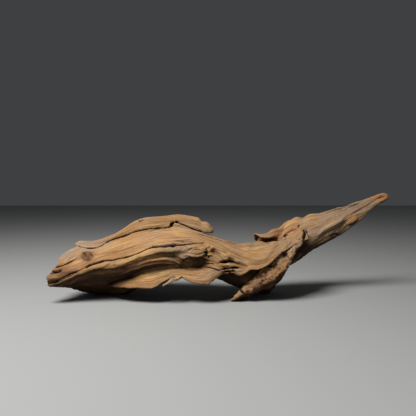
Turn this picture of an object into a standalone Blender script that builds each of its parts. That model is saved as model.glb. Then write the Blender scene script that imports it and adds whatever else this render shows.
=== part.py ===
"""A piece of driftwood: a long root that lies on a table on its belly, the tip of a leg and a hind foot.

The wood grew as one piece, so it is one closed solid. It is put together from lobes: the trunk, the
plank that lies along its crest, the flap under its front, the knot, the horn with its ledge, the leg
and the foot. Each lobe is a skin over rails, which are curves that run along the grain. A rail has one
point at each station along the lobe, and a closed curve round the lobe joins the rails at each station.
The lobes overlap, are fused into one skin, and are cut flat where the wood meets the table.

X runs along the wood to the tip of the horn, Y to the back and Z up. The table is at Z = 0.
Sizes are in millimetres up to the point where a mesh is made, and in metres from there.
"""

import bmesh
import bpy
import numpy as np

# Driving sizes, in millimetres.
MM = 0.001
ORIGIN = (37.4, 5.1, 0.0)  # the middle of the footprint, in the frame that the rails are laid out in
FUSE_GRID = 2.4  # the spacing of the fused skin before it is thinned
KEPT_FACES = 6400  # triangles left after thinning
WOOD_COLOUR = (0.36, 0.21, 0.11, 1.0)
WOOD_ROUGHNESS = 0.75

# The trunk. Its rails go round it from the crest down the front, under the belly and up the back.
TRUNK_X = [-254, -243, -232, -214, -184, -150, -110, -70, -30, 10, 50, 70, 90, 125, 152, 172]
TRUNK_YZ = {
    "crest": [(-8, 70), (-6, 76), (-2, 82), (1, 88), (3, 88), (5, 104), (6, 117), (6, 121),
              (6, 118), (5, 107), (4, 94), (6, 93), (8, 96), (12, 104), (14, 115), (12, 122)],
    "brow": [(-26, 62), (-25, 66), (-23, 70), (-20, 77), (-17, 80), (-15, 93), (-13, 107), (-13, 113),
             (-14, 111), (-15, 101), (-18, 82), (-16, 82), (-13, 85), (-5, 98), (0, 109), (2, 117)],
    "crack": [(-44, 50), (-45, 50), (-44, 51), (-43, 56), (-39, 67), (-35, 75), (-34, 89), (-34, 99),
              (-35, 98), (-34, 90), (-34, 66), (-33, 66), (-31, 69), (-21, 91), (-10, 104), (-6, 112)],
    "ridge": [(-54, 38), (-55, 38), (-54, 42), (-51, 51), (-49, 58), (-49, 62), (-49, 77), (-49, 88),
              (-50, 86), (-42, 70), (-41, 47), (-43, 55), (-42, 58), (-31, 84), (-20, 98), (-14, 104)],
    "furrow": [(-54, 30), (-52, 31), (-50, 34), (-45, 44), (-41, 48), (-40, 52), (-40, 69), (-39, 79),
               (-39, 76), (-34, 63), (-31, 48), (-33, 56), (-32, 59), (-23, 82), (-14, 95), (-10, 100)],
    "rib": [(-48, 27), (-45, 27), (-42, 29), (-36, 37), (-33, 40), (-33, 43), (-41, 62), (-42, 72),
            (-37, 66), (-28, 58), (-22, 51), (-24, 60), (-22, 64), (-14, 80), (-6, 93), (-4, 98)],
    "under": [(-40, 26), (-32, 23), (-22, 21), (-12, 17), (-6, 13), (-6, 22), (-16, 48), (-17, 57),
              (-14, 54), (-8, 50), (0, 55), (0, 62), (0, 66), (4, 82), (6, 94), (4, 102)],
    "keel": [(-22, 24), (-14, 18), (-4, 12), (10, 5), (18, -1.2), (18, -1.2), (10, 22), (8, 46),
             (8, 48), (8, 50), (16, 58), (16, 64), (16, 70), (20, 86), (20, 100), (12, 106)],
    "haunch": [(2, 28), (12, 24), (24, 20), (42, 14), (46, 6), (44, 5), (36, 26), (34, 46),
               (34, 50), (34, 54), (36, 60), (35, 66), (34, 72), (34, 90), (30, 108), (16, 112)],
    "flank": [(18, 36), (28, 36), (38, 36), (54, 30), (62, 26), (62, 26), (54, 46), (50, 60),
              (48, 62), (46, 62), (42, 66), (40, 70), (36, 76), (34, 94), (30, 110), (17, 114)],
    "gully": [(18, 44), (30, 46), (40, 48), (54, 48), (58, 48), (57, 50), (54, 66), (51, 74),
              (49, 74), (46, 72), (42, 74), (38, 76), (34, 80), (33, 98), (30, 113), (18, 117)],
    "spur": [(16, 52), (28, 56), (38, 60), (54, 64), (64, 64), (68, 68), (68, 84), (64, 92),
             (58, 92), (52, 86), (44, 82), (38, 82), (32, 84), (30, 102), (28, 115), (18, 119)],
    "shelf": [(8, 62), (16, 70), (24, 77), (34, 82), (40, 86), (42, 98), (42, 110), (40, 116),
              (38, 111), (34, 101), (30, 88), (28, 86), (26, 88), (26, 98), (24, 116), (16, 121)],
}
# Where each of those rails starts, because the trunk's left end broke off in uneven layers.
TRUNK_STARTS = [-252, -250, -259, -259, -254, -252, -248, -240, -234, -230, -228, -230, -240]

# The plank along the crest: its top and lower edge, its front and its back, at each station.
PLANK_X = [-231, -223, -200, -170, -150, -132, -110, -80, -62, -48, -25, -5, 3, 9]
PLANK_TOP = [95, 100, 101, 110, 119, 130, 137, 140, 142, 142, 138, 128, 122, 116]
PLANK_LOW = [87, 87, 88, 98, 106, 112, 119, 121.5, 125, 124, 118.5, 113, 111.5, 111]
PLANK_FRONT = [4, 1, 0, 0, 0, 0, 0, 1, 2, 2, 1, 0, 2, 6]
PLANK_BACK = [14, 24, 30, 34, 36, 36, 36, 36, 35, 34, 30, 24, 18, 12]
PLANK_FREE = [0, 0, 0, 0, 0, 0, 0, 0, 0, 0, 0.5, 1, 1, 1]  # 1 where its end stands off the trunk
PLANK_SUNK = 5.5  # how far its back edge sinks into the trunk elsewhere

# The flap: a thin skirt that flares out to the front, from its root under the trunk to its free edge.
FLAP_X = [-168, -150, -128, -106, -92, -78, -68, -58, -48, -38, -20, -2, 8, 22, 34]
FLAP_ROOT_Z = [28, 34, 41, 51, 54, 58, 60, 61, 61, 60, 57, 54, 54, 54, 54]
FLAP_ROOT_Y = [-18, -22, -25, -26, -26, -26, -25, -25, -25, -25, -25, -26, -27, -28, -30]
FLAP_EDGE_Z = [23, 24, 25, 26, 26, 32, 37, 44, 46, 41, 35, 33, 38, 46, 50]
FLAP_EDGE_Y = [-24, -36, -45, -49, -49, -48, -47, -46, -46, -48, -50, -50, -49, -45, -40]
FLAP_LIP = 4.0  # thickness of the free edge

# The horn. Its rails go round it from its top edge down the front and up the back. It starts in the trunk.
HORN_X = [40, 68, 92, 115, 137, 150, 162, 174, 186, 205, 221, 237, 249, 265, 280, 298, 315, 326, 333]
HORN_YZ = {
    "top": [(22, 84), (28, 88), (34, 93), (38, 104), (42, 122), (44, 131), (46, 136), (46, 134),
            (46, 142), (48, 144), (49, 150), (50, 154), (51, 155), (52, 161), (53, 165), (54, 173),
            (55, 180), (55, 181), (55, 177)],
    "face": [(16, 82), (20, 85), (24, 87), (27, 96), (29, 108), (30, 114), (32, 117), (34, 120),
             (36, 125), (39, 130), (41, 136), (43, 142), (45, 146), (47, 153), (49, 158), (51, 168),
             (52, 175), (53, 178), (54, 175)],
    "ridge": [(10, 76), (12, 79), (14, 80), (14, 84), (15, 88), (18, 91), (21, 94), (24, 98), (27, 104),
              (31, 113), (34, 121), (37, 130), (40, 138), (43, 146), (46, 152), (48, 161), (50, 168),
              (52, 172), (53, 172)],
    "low": [(14, 70), (16, 66), (20, 60), (20, 56), (22, 60), (25, 64), (29, 70), (31, 76), (33, 84),
            (36, 94), (39, 104), (42, 114), (44, 122), (47, 132), (50, 141), (52, 151), (54, 160),
            (54, 165), (54, 168)],
    "bottom": [(22, 66), (30, 57), (38, 46), (40, 38), (42, 42), (43, 47), (44, 53), (45, 62), (45, 70),
               (46, 81), (48, 90), (49, 99), (50, 106), (51, 117), (53, 128), (55, 142), (57, 153),
               (57, 160), (56, 165)],
    "haunch": [(30, 69), (44, 66), (55, 60), (58, 56), (60, 60), (61, 63), (62, 69), (61, 77), (60, 84),
               (59, 96), (58, 104), (58, 112), (58, 119), (58, 129), (59, 138), (60, 151), (60, 161),
               (60, 167), (58, 170)],
    "back": [(34, 76), (49, 78), (60, 78), (66, 80), (68, 88), (68, 94), (68, 100), (67, 106), (66, 112),
             (64, 120), (63, 128), (62, 135), (62, 140), (62, 147), (62, 154), (62, 162), (62, 170),
             (61, 174), (59, 173)],
    "shelf": [(30, 82), (40, 86), (50, 89), (56, 98), (60, 108), (61, 115), (61, 121), (60, 126),
              (59, 131), (58, 136), (58, 141), (58, 147), (58, 150), (58, 156), (59, 162), (60, 169),
              (60, 177), (59, 179), (57, 176)],
}
# Where each of those rails ends, at the blunt tip.
HORN_ENDS = [334, 333, 331, 331, 334, 335, 333, 334]

# The ledge at the horn's root, which overhangs the trunk: its top, thickness, front edge and back edge.
LEDGE_X = [83, 90, 97, 108, 117, 131, 142, 152]
LEDGE_TOP = [108.5, 107, 106, 108.5, 114, 117.5, 127, 131]
LEDGE_THICKNESS = [1.5, 4, 5, 6, 8, 12, 14, 14]
LEDGE_FRONT = [30, 28, 26, 25, 25, 28, 33, 38]
LEDGE_BACK = [36, 46, 54, 58, 60, 60, 58, 56]

# The leg: a plank that comes forward from under the shoulder down to its tip on the table.
LEG_XYZ = {
    "upper": [(37, -33, 3), (51, -34, 15), (67, -34, 31), (82, -34, 42), (92, -32, 54),
              (106, -30, 63), (119, -27, 76), (136, -23, 91), (156, -18, 102)],
    "front": [(36.5, -36, 1), (53, -39, 13), (70, -41, 25), (86, -41, 36), (100, -40, 46),
              (113, -37, 55), (125, -33, 70), (138, -26, 86), (157, -20, 99)],
    "lower": [(38, -36, -2.5), (56, -37, 11), (74, -39, 17), (91, -39, 28), (108, -37, 36),
              (119, -33, 48), (131, -28, 60), (141, -22, 78), (158, -18, 95)],
    "right": [(40, -31, -2.5), (57, -28, 8), (76, -26, 14), (95, -22, 24), (114, -14, 33),
              (126, -8, 46), (138, 0, 60), (147, 2, 78), (160, -6, 96)],
    "rear": [(40, -29, -1), (55, -22, 10), (72, -16, 20), (90, -8, 32), (108, 0, 44),
             (120, 6, 56), (130, 10, 72), (142, 10, 88), (160, 0, 102)],
    "inner": [(38, -30, 2), (50, -28, 15), (64, -26, 30), (80, -24, 42), (94, -22, 54),
              (107, -18, 66), (118, -14, 80), (134, -10, 92), (157, -8, 104)],
}

# The foot: the web of wood behind the leg, which reaches down to the table at the back.
FOOT_X = [18, 32, 48, 72, 96, 108, 124, 137, 146, 151]
FOOT_LOW = [44, 30, 21, 10, 0.5, -1.2, 13, 25, 43, 60]
FOOT_TOP = [60, 62, 63, 66, 70, 74, 80, 86, 90, 92]
FOOT_FRONT = [2, -8, -14, -18, -14, -8, 0, 4, 10, 16]
FOOT_BACK = [18, 26, 34, 44, 50, 53, 55, 57, 58, 56]

# The knot: a snout that points along the trunk to the right.
KNOT_CENTRE = (-24, -38, 77)
KNOT_ROOT = 34  # its length to the left, sunk in the trunk
KNOT_NOSE = 22  # its length to the right
KNOT_HALF_DEPTH = 17
KNOT_HALF_HEIGHT = 16
KNOT_LEAN = (-6, 4)  # how far the nose leans to the front and up


def spline(points, count, closed):
    """Points on a smooth curve through the given ones: a Catmull-Rom spline along the first axis."""
    size = len(points)
    if closed:
        where = np.arange(count) * size / count
        first = np.floor(where).astype(int)
        picks = [(first + step) % size for step in (-1, 0, 1, 2)]
    else:
        where = np.linspace(0, size - 1, count)
        first = np.minimum(np.floor(where).astype(int), size - 2)
        picks = [np.clip(first + step, 0, size - 1) for step in (-1, 0, 1, 2)]
    part = (where - first).reshape((-1,) + (1,) * (points.ndim - 1))
    before, here, after, beyond = (points[pick] for pick in picks)
    bend = 2 * before - 5 * here + 4 * after - beyond
    twist = 3 * here - before - 3 * after + beyond
    return 0.5 * (2 * here + (after - before) * part + bend * part**2 + twist * part**3)


def skin(rails, along, around):
    """A grid of points over the rails: along stations by around points, each ring closed."""
    rings = spline(np.asarray(rails, dtype=float), around, closed=True)
    return spline(np.swapaxes(rings, 0, 1), along, closed=False)


def rails_at(stations, rails_yz, starts=None, ends=None):
    """Rails with x added: the stations, with the first or last stretch moved to each rail's own end."""
    stations = np.asarray(stations, dtype=float)
    rails = []
    for index, rail in enumerate(rails_yz):
        x = stations.copy()
        if starts:
            x[:4] = np.interp(stations[:4], stations[[0, 3]], [starts[index], stations[3]])
        if ends:
            x[-3:] = np.interp(stations[-3:], stations[[-3, -1]], [stations[-3], ends[index]])
        rails.append(np.column_stack([x, np.asarray(rail, dtype=float)]))
    return np.array(rails)


def columns(*pairs):
    """Rails from pairs of a depth list and a height list."""
    return [np.column_stack(pair) for pair in pairs]


def trunk():
    """The main body of the wood, from its broken left end to the tip of the shoulder."""
    return skin(rails_at(TRUNK_X, TRUNK_YZ.values(), TRUNK_STARTS), 110, 78)


def plank():
    """The strip along the crest, split from the trunk by a long crack and free at its right end."""
    top, low = np.array(PLANK_TOP, float), np.array(PLANK_LOW, float)
    front, back = np.array(PLANK_FRONT, float), np.array(PLANK_BACK, float)
    middle = (front + back) / 2
    sunk = PLANK_SUNK * (1 - np.array(PLANK_FREE, float))
    rails = columns(
        (front, low + 1.5),
        (front - 0.5, 0.35 * top + 0.65 * low),
        (front + 1, 0.75 * top + 0.25 * low),
        (front + 5, top - 2),
        (front + 11, top),
        (back - 7, top - 1),
        (back - 1, top - 6),
        (back, 0.5 * top + 0.5 * low - 2),
        (back - 4, low - sunk),
        (middle, low + 0.5 - sunk),
        (front + 3, low),
    )
    return skin(rails_at(PLANK_X, rails), 80, 32)


def flap():
    """The thin lit skirt under the front of the trunk."""
    root_y, root_z = np.array(FLAP_ROOT_Y, float), np.array(FLAP_ROOT_Z, float)
    edge_y, edge_z = np.array(FLAP_EDGE_Y, float), np.array(FLAP_EDGE_Z, float)
    middle_y, middle_z = (root_y + edge_y) / 2, (root_z + edge_z) / 2
    rails = columns(
        (root_y, root_z),
        (middle_y - 3, middle_z + 1),
        (edge_y, edge_z + FLAP_LIP / 2),
        (edge_y + FLAP_LIP, edge_z),
        (edge_y + 3 * FLAP_LIP, middle_z),
        (root_y + 14, root_z - 2),
        (root_y + 10, root_z + 8),
    )
    return skin(rails_at(FLAP_X, rails), 76, 34)


def horn():
    """The long horn that rises to the right."""
    return skin(rails_at(HORN_X, HORN_YZ.values(), ends=HORN_ENDS), 96, 44)


def ledge():
    """The thin ledge at the horn's root, drawn out to a spike that overhangs the trunk."""
    top, thick = np.array(LEDGE_TOP, float), np.array(LEDGE_THICKNESS, float)
    front, back = np.array(LEDGE_FRONT, float), np.array(LEDGE_BACK, float)
    middle = (front + back) / 2
    rails = columns(
        (front, top - thick / 2),
        (front + 3, top),
        (middle, top + 0.5),
        (back, top - 2),
        (back + 1, top - thick - 4),
        (middle, top - thick),
        (front + 4, top - thick),
    )
    return skin(rails_at(LEDGE_X, rails), 36, 32)


def leg():
    """The plank that comes forward and down to its tip on the table."""
    return skin(list(LEG_XYZ.values()), 64, 34)


def foot():
    """The web behind the leg and the hind foot under it."""
    low, top = np.array(FOOT_LOW, float), np.array(FOOT_TOP, float)
    front, back = np.array(FOOT_FRONT, float), np.array(FOOT_BACK, float)
    middle = (front + back) / 2
    rails = columns(
        (middle - 4, top),
        (front, 0.35 * low + 0.65 * top),
        (front + 4, 0.75 * low + 0.25 * top),
        (middle + 10, low),
        (back - 6, 0.75 * low + 0.25 * top + 2),
        (back, 0.35 * low + 0.65 * top),
    )
    return skin(rails_at(FOOT_X, rails), 60, 36)


def knot():
    """The knot: an egg with its axis along X, whose section swells and shrinks as a power of a sine."""
    turn = np.linspace(0, np.pi, 30)[:, None]
    round_it = np.linspace(0, 2 * np.pi, 32, endpoint=False)[None, :]
    axis = -np.cos(turn)
    swell = np.sin(turn) ** 0.8
    lean = 1 + axis
    x = KNOT_CENTRE[0] + np.where(axis < 0, KNOT_ROOT, KNOT_NOSE) * axis + 0 * round_it
    y = KNOT_CENTRE[1] + KNOT_LEAN[0] * lean / 2 - KNOT_HALF_DEPTH * swell * np.cos(round_it)
    z = KNOT_CENTRE[2] + KNOT_LEAN[1] * lean + KNOT_HALF_HEIGHT * swell * np.sin(round_it) * (1 - lean / 8)
    return np.stack([x, y, z], axis=-1)


def add_lobe(bm, grid):
    """Adds one lobe's closed skin to the mesh: quads between the rings, and a fan over each end."""
    grid = (grid - np.array(ORIGIN)) * MM
    rings = [[bm.verts.new(point) for point in ring] for ring in grid.tolist()]
    around = len(rings[0])
    for ring, following in zip(rings, rings[1:]):
        for this in range(around):
            beside = (this + 1) % around
            bm.faces.new((ring[this], ring[beside], following[beside], following[this]))
    for ring, flip in ((rings[0], True), (rings[-1], False)):
        hub = bm.verts.new(np.mean([vert.co for vert in ring], axis=0).tolist())
        for this in range(around):
            fan = (hub, ring[this], ring[(this + 1) % around])
            bm.faces.new(fan[::-1] if flip else fan)


def lobes_mesh():
    """All the lobes in one mesh, each closed and facing out, still overlapping one another."""
    whole = bmesh.new()
    for shape in (trunk, plank, flap, horn, ledge, leg, foot, knot):
        lobe = bmesh.new()
        add_lobe(lobe, shape())
        bmesh.ops.remove_doubles(lobe, verts=lobe.verts, dist=0.01 * MM)
        bmesh.ops.recalc_face_normals(lobe, faces=lobe.faces)
        step = bpy.data.meshes.new("lobe")
        lobe.to_mesh(step)
        lobe.free()
        whole.from_mesh(step)
        bpy.data.meshes.remove(step)
    mesh = bpy.data.meshes.new("lobes")
    whole.to_mesh(mesh)
    whole.free()
    return mesh


def evaluated_copy(obj):
    """The mesh of an object with its modifiers applied, as a new mesh."""
    graph = bpy.context.evaluated_depsgraph_get()
    return bpy.data.meshes.new_from_object(obj.evaluated_get(graph))


def fuse_and_thin(mesh):
    """Fuses overlapping lobes into one skin on a fine grid, softens it, and thins it to few triangles."""
    obj = bpy.data.objects.new("lobes", mesh)
    bpy.context.collection.objects.link(obj)
    fuse = obj.modifiers.new("Fuse", "REMESH")
    fuse.mode = "VOXEL"
    fuse.voxel_size = FUSE_GRID * MM
    soften = obj.modifiers.new("Soften", "SMOOTH")
    soften.factor = 0.5
    soften.iterations = 2
    bpy.context.view_layer.update()
    fused = evaluated_copy(obj)
    bpy.data.objects.remove(obj)
    triangles = sum(len(face.vertices) - 2 for face in fused.polygons)
    obj = bpy.data.objects.new("fused", fused)
    bpy.context.collection.objects.link(obj)
    thin = obj.modifiers.new("Thin", "DECIMATE")
    thin.ratio = KEPT_FACES / triangles
    thin.use_collapse_triangulate = True
    bpy.context.view_layer.update()
    thinned = evaluated_copy(obj)
    bpy.data.objects.remove(obj)
    return thinned


def cut_feet(mesh):
    """Cuts the skin at the table, fills the cuts flat and drops slivers."""
    bm = bmesh.new()
    bm.from_mesh(mesh)
    everything = bm.verts[:] + bm.edges[:] + bm.faces[:]
    bmesh.ops.bisect_plane(
        bm, geom=everything, dist=0.001 * MM, plane_co=(0, 0, 0), plane_no=(0, 0, 1), clear_inner=True
    )
    rims = [edge for edge in bm.edges if edge.is_boundary]
    bmesh.ops.holes_fill(bm, edges=rims, sides=0)
    bmesh.ops.triangulate(bm, faces=bm.faces[:])
    bmesh.ops.dissolve_degenerate(bm, dist=0.02 * MM, edges=bm.edges[:])
    bmesh.ops.triangulate(bm, faces=bm.faces[:])
    bmesh.ops.recalc_face_normals(bm, faces=bm.faces[:])
    bm.to_mesh(mesh)
    bm.free()


def wood_material():
    """Dry brown wood with a dull surface."""
    material = bpy.data.materials.new("wood")
    material.use_nodes = True
    surface = material.node_tree.nodes["Principled BSDF"]
    surface.inputs["Base Color"].default_value = WOOD_COLOUR
    surface.inputs["Roughness"].default_value = WOOD_ROUGHNESS
    surface.inputs["Metallic"].default_value = 0.0
    return material


def main():
    for obj in list(bpy.data.objects):
        bpy.data.objects.remove(obj)
    mesh = fuse_and_thin(lobes_mesh())
    cut_feet(mesh)
    mesh.name = "driftwood"
    mesh.shade_smooth()
    mesh.materials.clear()
    mesh.materials.append(wood_material())
    driftwood = bpy.data.objects.new("driftwood", mesh)
    bpy.context.collection.objects.link(driftwood)


main()
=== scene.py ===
"""A dry piece of driftwood on a pale table, laid out as a Blender add-on and run as a script.

How the wood is made. Lobes, which are skins over rails that run along the grain, are fused into one skin on
a fine grid. The rails also give the direction of the grain everywhere near the skin, and that field of
directions bends round the eyes, which are the old knots and holes. Plain noise that is averaged along the
field gives fibres. The fibres raise and sink the skin, split it and colour it. Marks, which are lines drawn
on the front, the back, the top or the underside, cut the cracks, furrows and hollows and raise the ribs.

X runs along the wood to the tip of the horn, Y to the back and Z up, and the table is at Z = 0. The shape is
worked out in millimetres, in the frame that the rails are laid out in, and becomes metres at the end. A text
such as "12,80 14,85" lists points: here (12, 80) and (14, 85).
"""

import itertools
from collections import namedtuple
from math import atan, radians
from types import SimpleNamespace

import bmesh
import bpy
import numpy as np
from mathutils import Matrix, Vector


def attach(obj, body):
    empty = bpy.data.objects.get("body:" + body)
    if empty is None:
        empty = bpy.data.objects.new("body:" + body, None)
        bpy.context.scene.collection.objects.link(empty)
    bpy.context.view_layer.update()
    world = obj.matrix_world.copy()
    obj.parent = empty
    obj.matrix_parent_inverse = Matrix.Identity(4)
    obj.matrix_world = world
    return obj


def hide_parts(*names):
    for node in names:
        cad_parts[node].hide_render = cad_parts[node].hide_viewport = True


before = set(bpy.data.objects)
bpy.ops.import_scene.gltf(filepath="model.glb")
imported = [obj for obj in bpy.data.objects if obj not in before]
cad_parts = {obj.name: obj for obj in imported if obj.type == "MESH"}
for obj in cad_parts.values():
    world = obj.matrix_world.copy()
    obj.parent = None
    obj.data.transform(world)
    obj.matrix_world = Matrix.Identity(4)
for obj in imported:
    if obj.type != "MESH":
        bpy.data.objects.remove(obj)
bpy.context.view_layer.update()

bl_info = {
    "name": "Driftwood",
    "version": (1, 0, 0),
    "blender": (4, 5, 0),
    "location": "3D View > Sidebar > Driftwood",
    "description": "Builds a weathered piece of driftwood and a plain studio stage for it",
    "category": "Add Mesh",
}

MM = 0.001
ORIGIN = np.array([37.4, 5.1, 0.0])  # the middle of the footprint, in the frame of the rails


def points_of(text):
    """The points that a text lists, one row each."""
    return np.array([point.split(",") for point in text.split()], dtype=float)


def rows(**lists):
    """Named lists of numbers as arrays."""
    return SimpleNamespace(**{name: np.array(values, float) for name, values in lists.items()})


# The trunk. Its rails go round it from the crest down the front, under the belly and up the back.
TRUNK_X = [-254, -243, -232, -214, -184, -150, -110, -70, -30, 10, 50, 70, 90, 125, 152, 172]
TRUNK_YZ = {
    "crest": "-8,72 -6,79 -2,85 1,91 3,93 5,104 6,117 6,121 6,118 5,104 4,92.5 6,93 8,91.5 13,95 14,108 "
             "12,120",
    "brow": "-26,64 -25,68 -23,72 -20,79 -17,82 -15,94 -13,107 -13,113 -14,111 -15,98 -18,81 -16,82 -13,85 "
            "-5,92.5 0,104 2,115",
    "crack": "-44,50 -45,50 -44,51 -43,56 -39,67 -35,75 -34,89 -34,99 -35,98 -34,90 -34,66 -33,66 -31,69 "
             "-21,88 -10,101 -6,111",
    "ridge": "-54,38 -55,38 -54,42 -51,51 -49,58 -49,62 -49,77 -49,88 -50,86 -42,70 -41,47 -43,55 -42,58 "
             "-31,84 -20,98 -14,104",
    "furrow": "-50,31 -48,31 -45,34 -40,43 -36,47 -38,51 -44,69 -44,79 -42,76 -34,63 -31,48 -33,56 -32,59 "
              "-23,82 -14,95 -10,100",
    "rib": "-44,27 -41,27 -37,28 -31,35 -27,37 -29,41 -44,62 -47,71 -41,66 -28,58 -22,51 -24,60 -22,64 "
           "-14,80 -6,93 -4,98",
    "under": "-36,26 -28,22 -18,20 -8,16 -3,12 -5,21 -26,49 -31,58 -26,55 -10,50 0,55 0,62 0,66 4,82 6,94 "
             "4,102",
    "keel": "-22,24 -14,18 -4,12 10,5 18,-1.2 18,-1.2 10,22 8,46 8,48 8,50 16,58 16,64 16,70 20,86 20,100 "
            "12,106",
    "haunch": "2,28 12,24 24,20 42,14 46,6 44,5 36,26 34,46 34,50 34,54 36,60 35,66 34,72 34,90 30,108 "
              "16,112",
    "flank": "18,36 28,36 38,36 54,30 62,26 62,26 54,46 50,60 48,62 46,62 42,66 40,70 36,76 34,94 30,110 "
             "17,114",
    "gully": "18,44 30,46 40,48 54,48 58,48 57,50 54,66 51,74 49,74 46,72 42,74 38,76 34,80 33,98 30,113 "
             "18,117",
    "spur": "16,52 28,56 38,60 54,64 64,64 68,68 68,84 64,92 58,92 52,86 44,82 38,82 32,84 30,94 28,108 "
            "18,117",
    "shelf": "8,62 16,70 24,77 34,82 40,86 42,98 42,110 40,116 38,111 34,98 30,88 28,86 26,87 26,93 24,108 "
             "16,119",
}
# Where each of those rails starts, because the trunk's left end broke off in uneven layers.
TRUNK_STARTS = [-252, -250, -259, -260, -257, -254, -249, -240, -234, -230, -228, -230, -240]

# The horn. Its rails go round it from its top edge down the front and up the back. It starts in the trunk.
HORN_X = [40, 68, 92, 115, 137, 150, 162, 174, 186, 205, 221, 237, 249, 265, 280, 298, 315, 326, 333]
HORN_YZ = {
    "top": "22,84 28,88 34,93 38,104 42,121 44,130 46,136 46,134 46,141 48,142.5 49,147 50,152 51,154 "
           "52,159 53,163.5 54,170 55,176.5 55,179 55,175",
    "face": "16,82 20,85 24,87 27,96 29,108 30,114 32,117 34,120 36,125 39,130 41,136 43,142 45,146 47,152 "
            "49,156.5 51,165.5 52,172 53,175 54,173",
    "ridge": "10,76 12,79 14,80 14,84 15,88 18,91 21,94 24,98 27,104 31,113 34,121 37,130 40,138 43,146 "
             "46,151 48,159.5 50,168 52,171 53,172",
    "low": "14,70 16,66 20,60 20,56 22,60 25,64 28,70 29,76 30,86 33,96.5 36,105.5 39,114 40.5,123 43,134 "
           "45,142 47,153 49,163 50,168 53,170",
    "bottom": "22,66 30,57 38,46 40,38 42,42 43,47 44,53 45,63 45,73 46,85 48,94 48,102.5 48,109.5 48,122 "
              "49,131.5 51,146 54,158 55,163 55,167",
    "haunch": "30,69 44,66 55,60 58,56 60,60 61,63 62,69 61,77 60,85 59,98 58,106 58,114 58,121 58,132 "
              "59,140 60,152 60,162 60,167 58,170",
    "back": "34,76 49,78 60,78 66,80 68,88 68,94 68,100 67,106 66,112 64,120 63,128 62,135 62,140 62,147 "
            "62,153 62,161 62,168 61,172 59,172",
    "shelf": "30,82 40,86 50,89 56,98 60,108 61,115 61,121 60,126 59,131 58,135 58,140 58,146 58,149 "
             "58,155 59,161 60,167 60,173 59,176 57,174",
}
# Where each of those rails ends, at the blunt tip.
HORN_ENDS = [334, 333, 331, 331, 334, 335, 333, 334]

# The leg: a plank that comes forward from under the shoulder down to its tip on the table.
LEG_XYZ = {
    "upper": "37,-33,3 51,-34,15 67,-34,31 82,-34,42 92,-32,54 106,-30,63 119,-27,76 136,-23,91 "
             "156,-18,102",
    "front": "36.5,-36,1 53,-39,13 70,-41,25 86,-41,36 100,-40,46 113,-37,55 125,-33,70 138,-26,86 "
             "157,-20,99",
    "lower": "38,-36,-2.5 56,-37,11 74,-39,17 91,-39,28 108,-42,36 119,-40,48 131,-36,60 141,-30,78 "
             "158,-20,95",
    "right": "40,-29,-2.5 57,-21,1 76,-19,8 95,-16,19 114,-10,31 126,-8,46 138,0,60 147,2,78 160,-6,96",
    "rear": "40,-27,-1 55,-13,4 72,-8,14 90,-3,28 108,2,43 120,6,56 130,10,72 142,10,88 160,0,102",
    "inner": "38,-30,2 50,-24,13 64,-22,28 80,-24,42 94,-22,54 107,-18,66 118,-14,80 134,-10,92 157,-8,104",
}

# The plank along the crest: its top and lower edge, its front and its back, at each station.
PLANK = rows(
    x=[-231, -223, -200, -170, -150, -132, -110, -80, -62, -48, -25, -16, -11, -2, 4, 9],
    top=[93, 95, 95.5, 105.5, 116.5, 128.5, 136, 139, 141, 141.5, 138, 135.5, 130.5, 128.5, 124, 118],
    low=[87, 87, 88, 98, 106, 112, 119, 121.5, 125, 124, 118.5, 115.5, 114, 112.5, 111.5, 111],
    front=[4, 1, 0, 0, 0, 0, 0, 1, 2, 2, 1, 0.5, 0, 0, 2, 6],
    back=[14, 24, 30, 34, 36, 36, 36, 36, 35, 34, 30, 27, 25, 23, 18, 12],
    free=[0, 0, 0, 0, 0, 0, 0, 0, 0, 0, 0.5, 0.8, 0.9, 1, 1, 1],  # 1 off the trunk
)
PLANK_SUNK = 5.5  # how far its lower side sinks into the trunk elsewhere

# The flap: a thin skirt that flares out to the front, from its root under the trunk to its free edge.
FLAP = rows(
    x=[-168, -150, -128, -106, -92, -78, -68, -58, -48, -38, -20, -2, 8, 22, 34],
    root_z=[28, 34, 41, 51, 54, 58, 60, 61, 61, 60, 61, 68, 70, 64, 57],
    root_y=[-18, -22, -25, -27, -28, -29, -30, -31, -32, -33, -36, -40, -40, -38, -34],
    edge_z=[23, 24, 25, 26.5, 26.5, 32.5, 37.5, 44.5, 46.5, 42, 36, 34, 39, 46.5, 50],
    edge_y=[-24, -36, -46, -51, -52, -52, -52, -51, -51, -53, -55, -55, -53, -47, -40],
)
FLAP_LIP = 4.0  # thickness of the free edge

# The ledge at the horn's root, which overhangs the trunk.
LEDGE = rows(
    x=[83, 90, 97, 108, 117, 131, 142, 152],
    top=[108.5, 107, 106, 108.5, 114, 117.5, 127, 131],
    thick=[2.5, 5, 6, 9, 14, 18, 22, 22],
    front=[29, 25, 22, 20, 22, 29, 38, 44],
    back=[36, 46, 54, 58, 60, 60, 58, 56],
)

# The prop: the wall under the ledge, from the valley up to the ledge.
PROP = rows(
    x=[89, 92, 99, 108, 118, 130, 142],
    top=[98, 102, 102, 103, 107, 112, 120],
    front=[30, 27, 28, 28, 28, 30, 36],
    back=[36, 42, 46, 48, 50, 50, 50],
)
PROP_LOW = 84

# The foot: the web of wood behind the leg, which reaches down to the table at the back.
FOOT = rows(
    x=[2, 18, 32, 48, 72, 96, 108, 123, 134, 141, 146],
    low=[37, 25, 19.5, 13, 5.5, 0.5, -1.2, 13, 25, 43, 60],
    top=[58, 60, 62, 63, 66, 70, 74, 80, 86, 90, 92],
    front=[6, 0, -8, -14, -18, -14, -8, 0, 4, 10, 16],
    back=[18, 22, 28, 35, 44, 50, 53, 55, 57, 58, 56],
)

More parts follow.
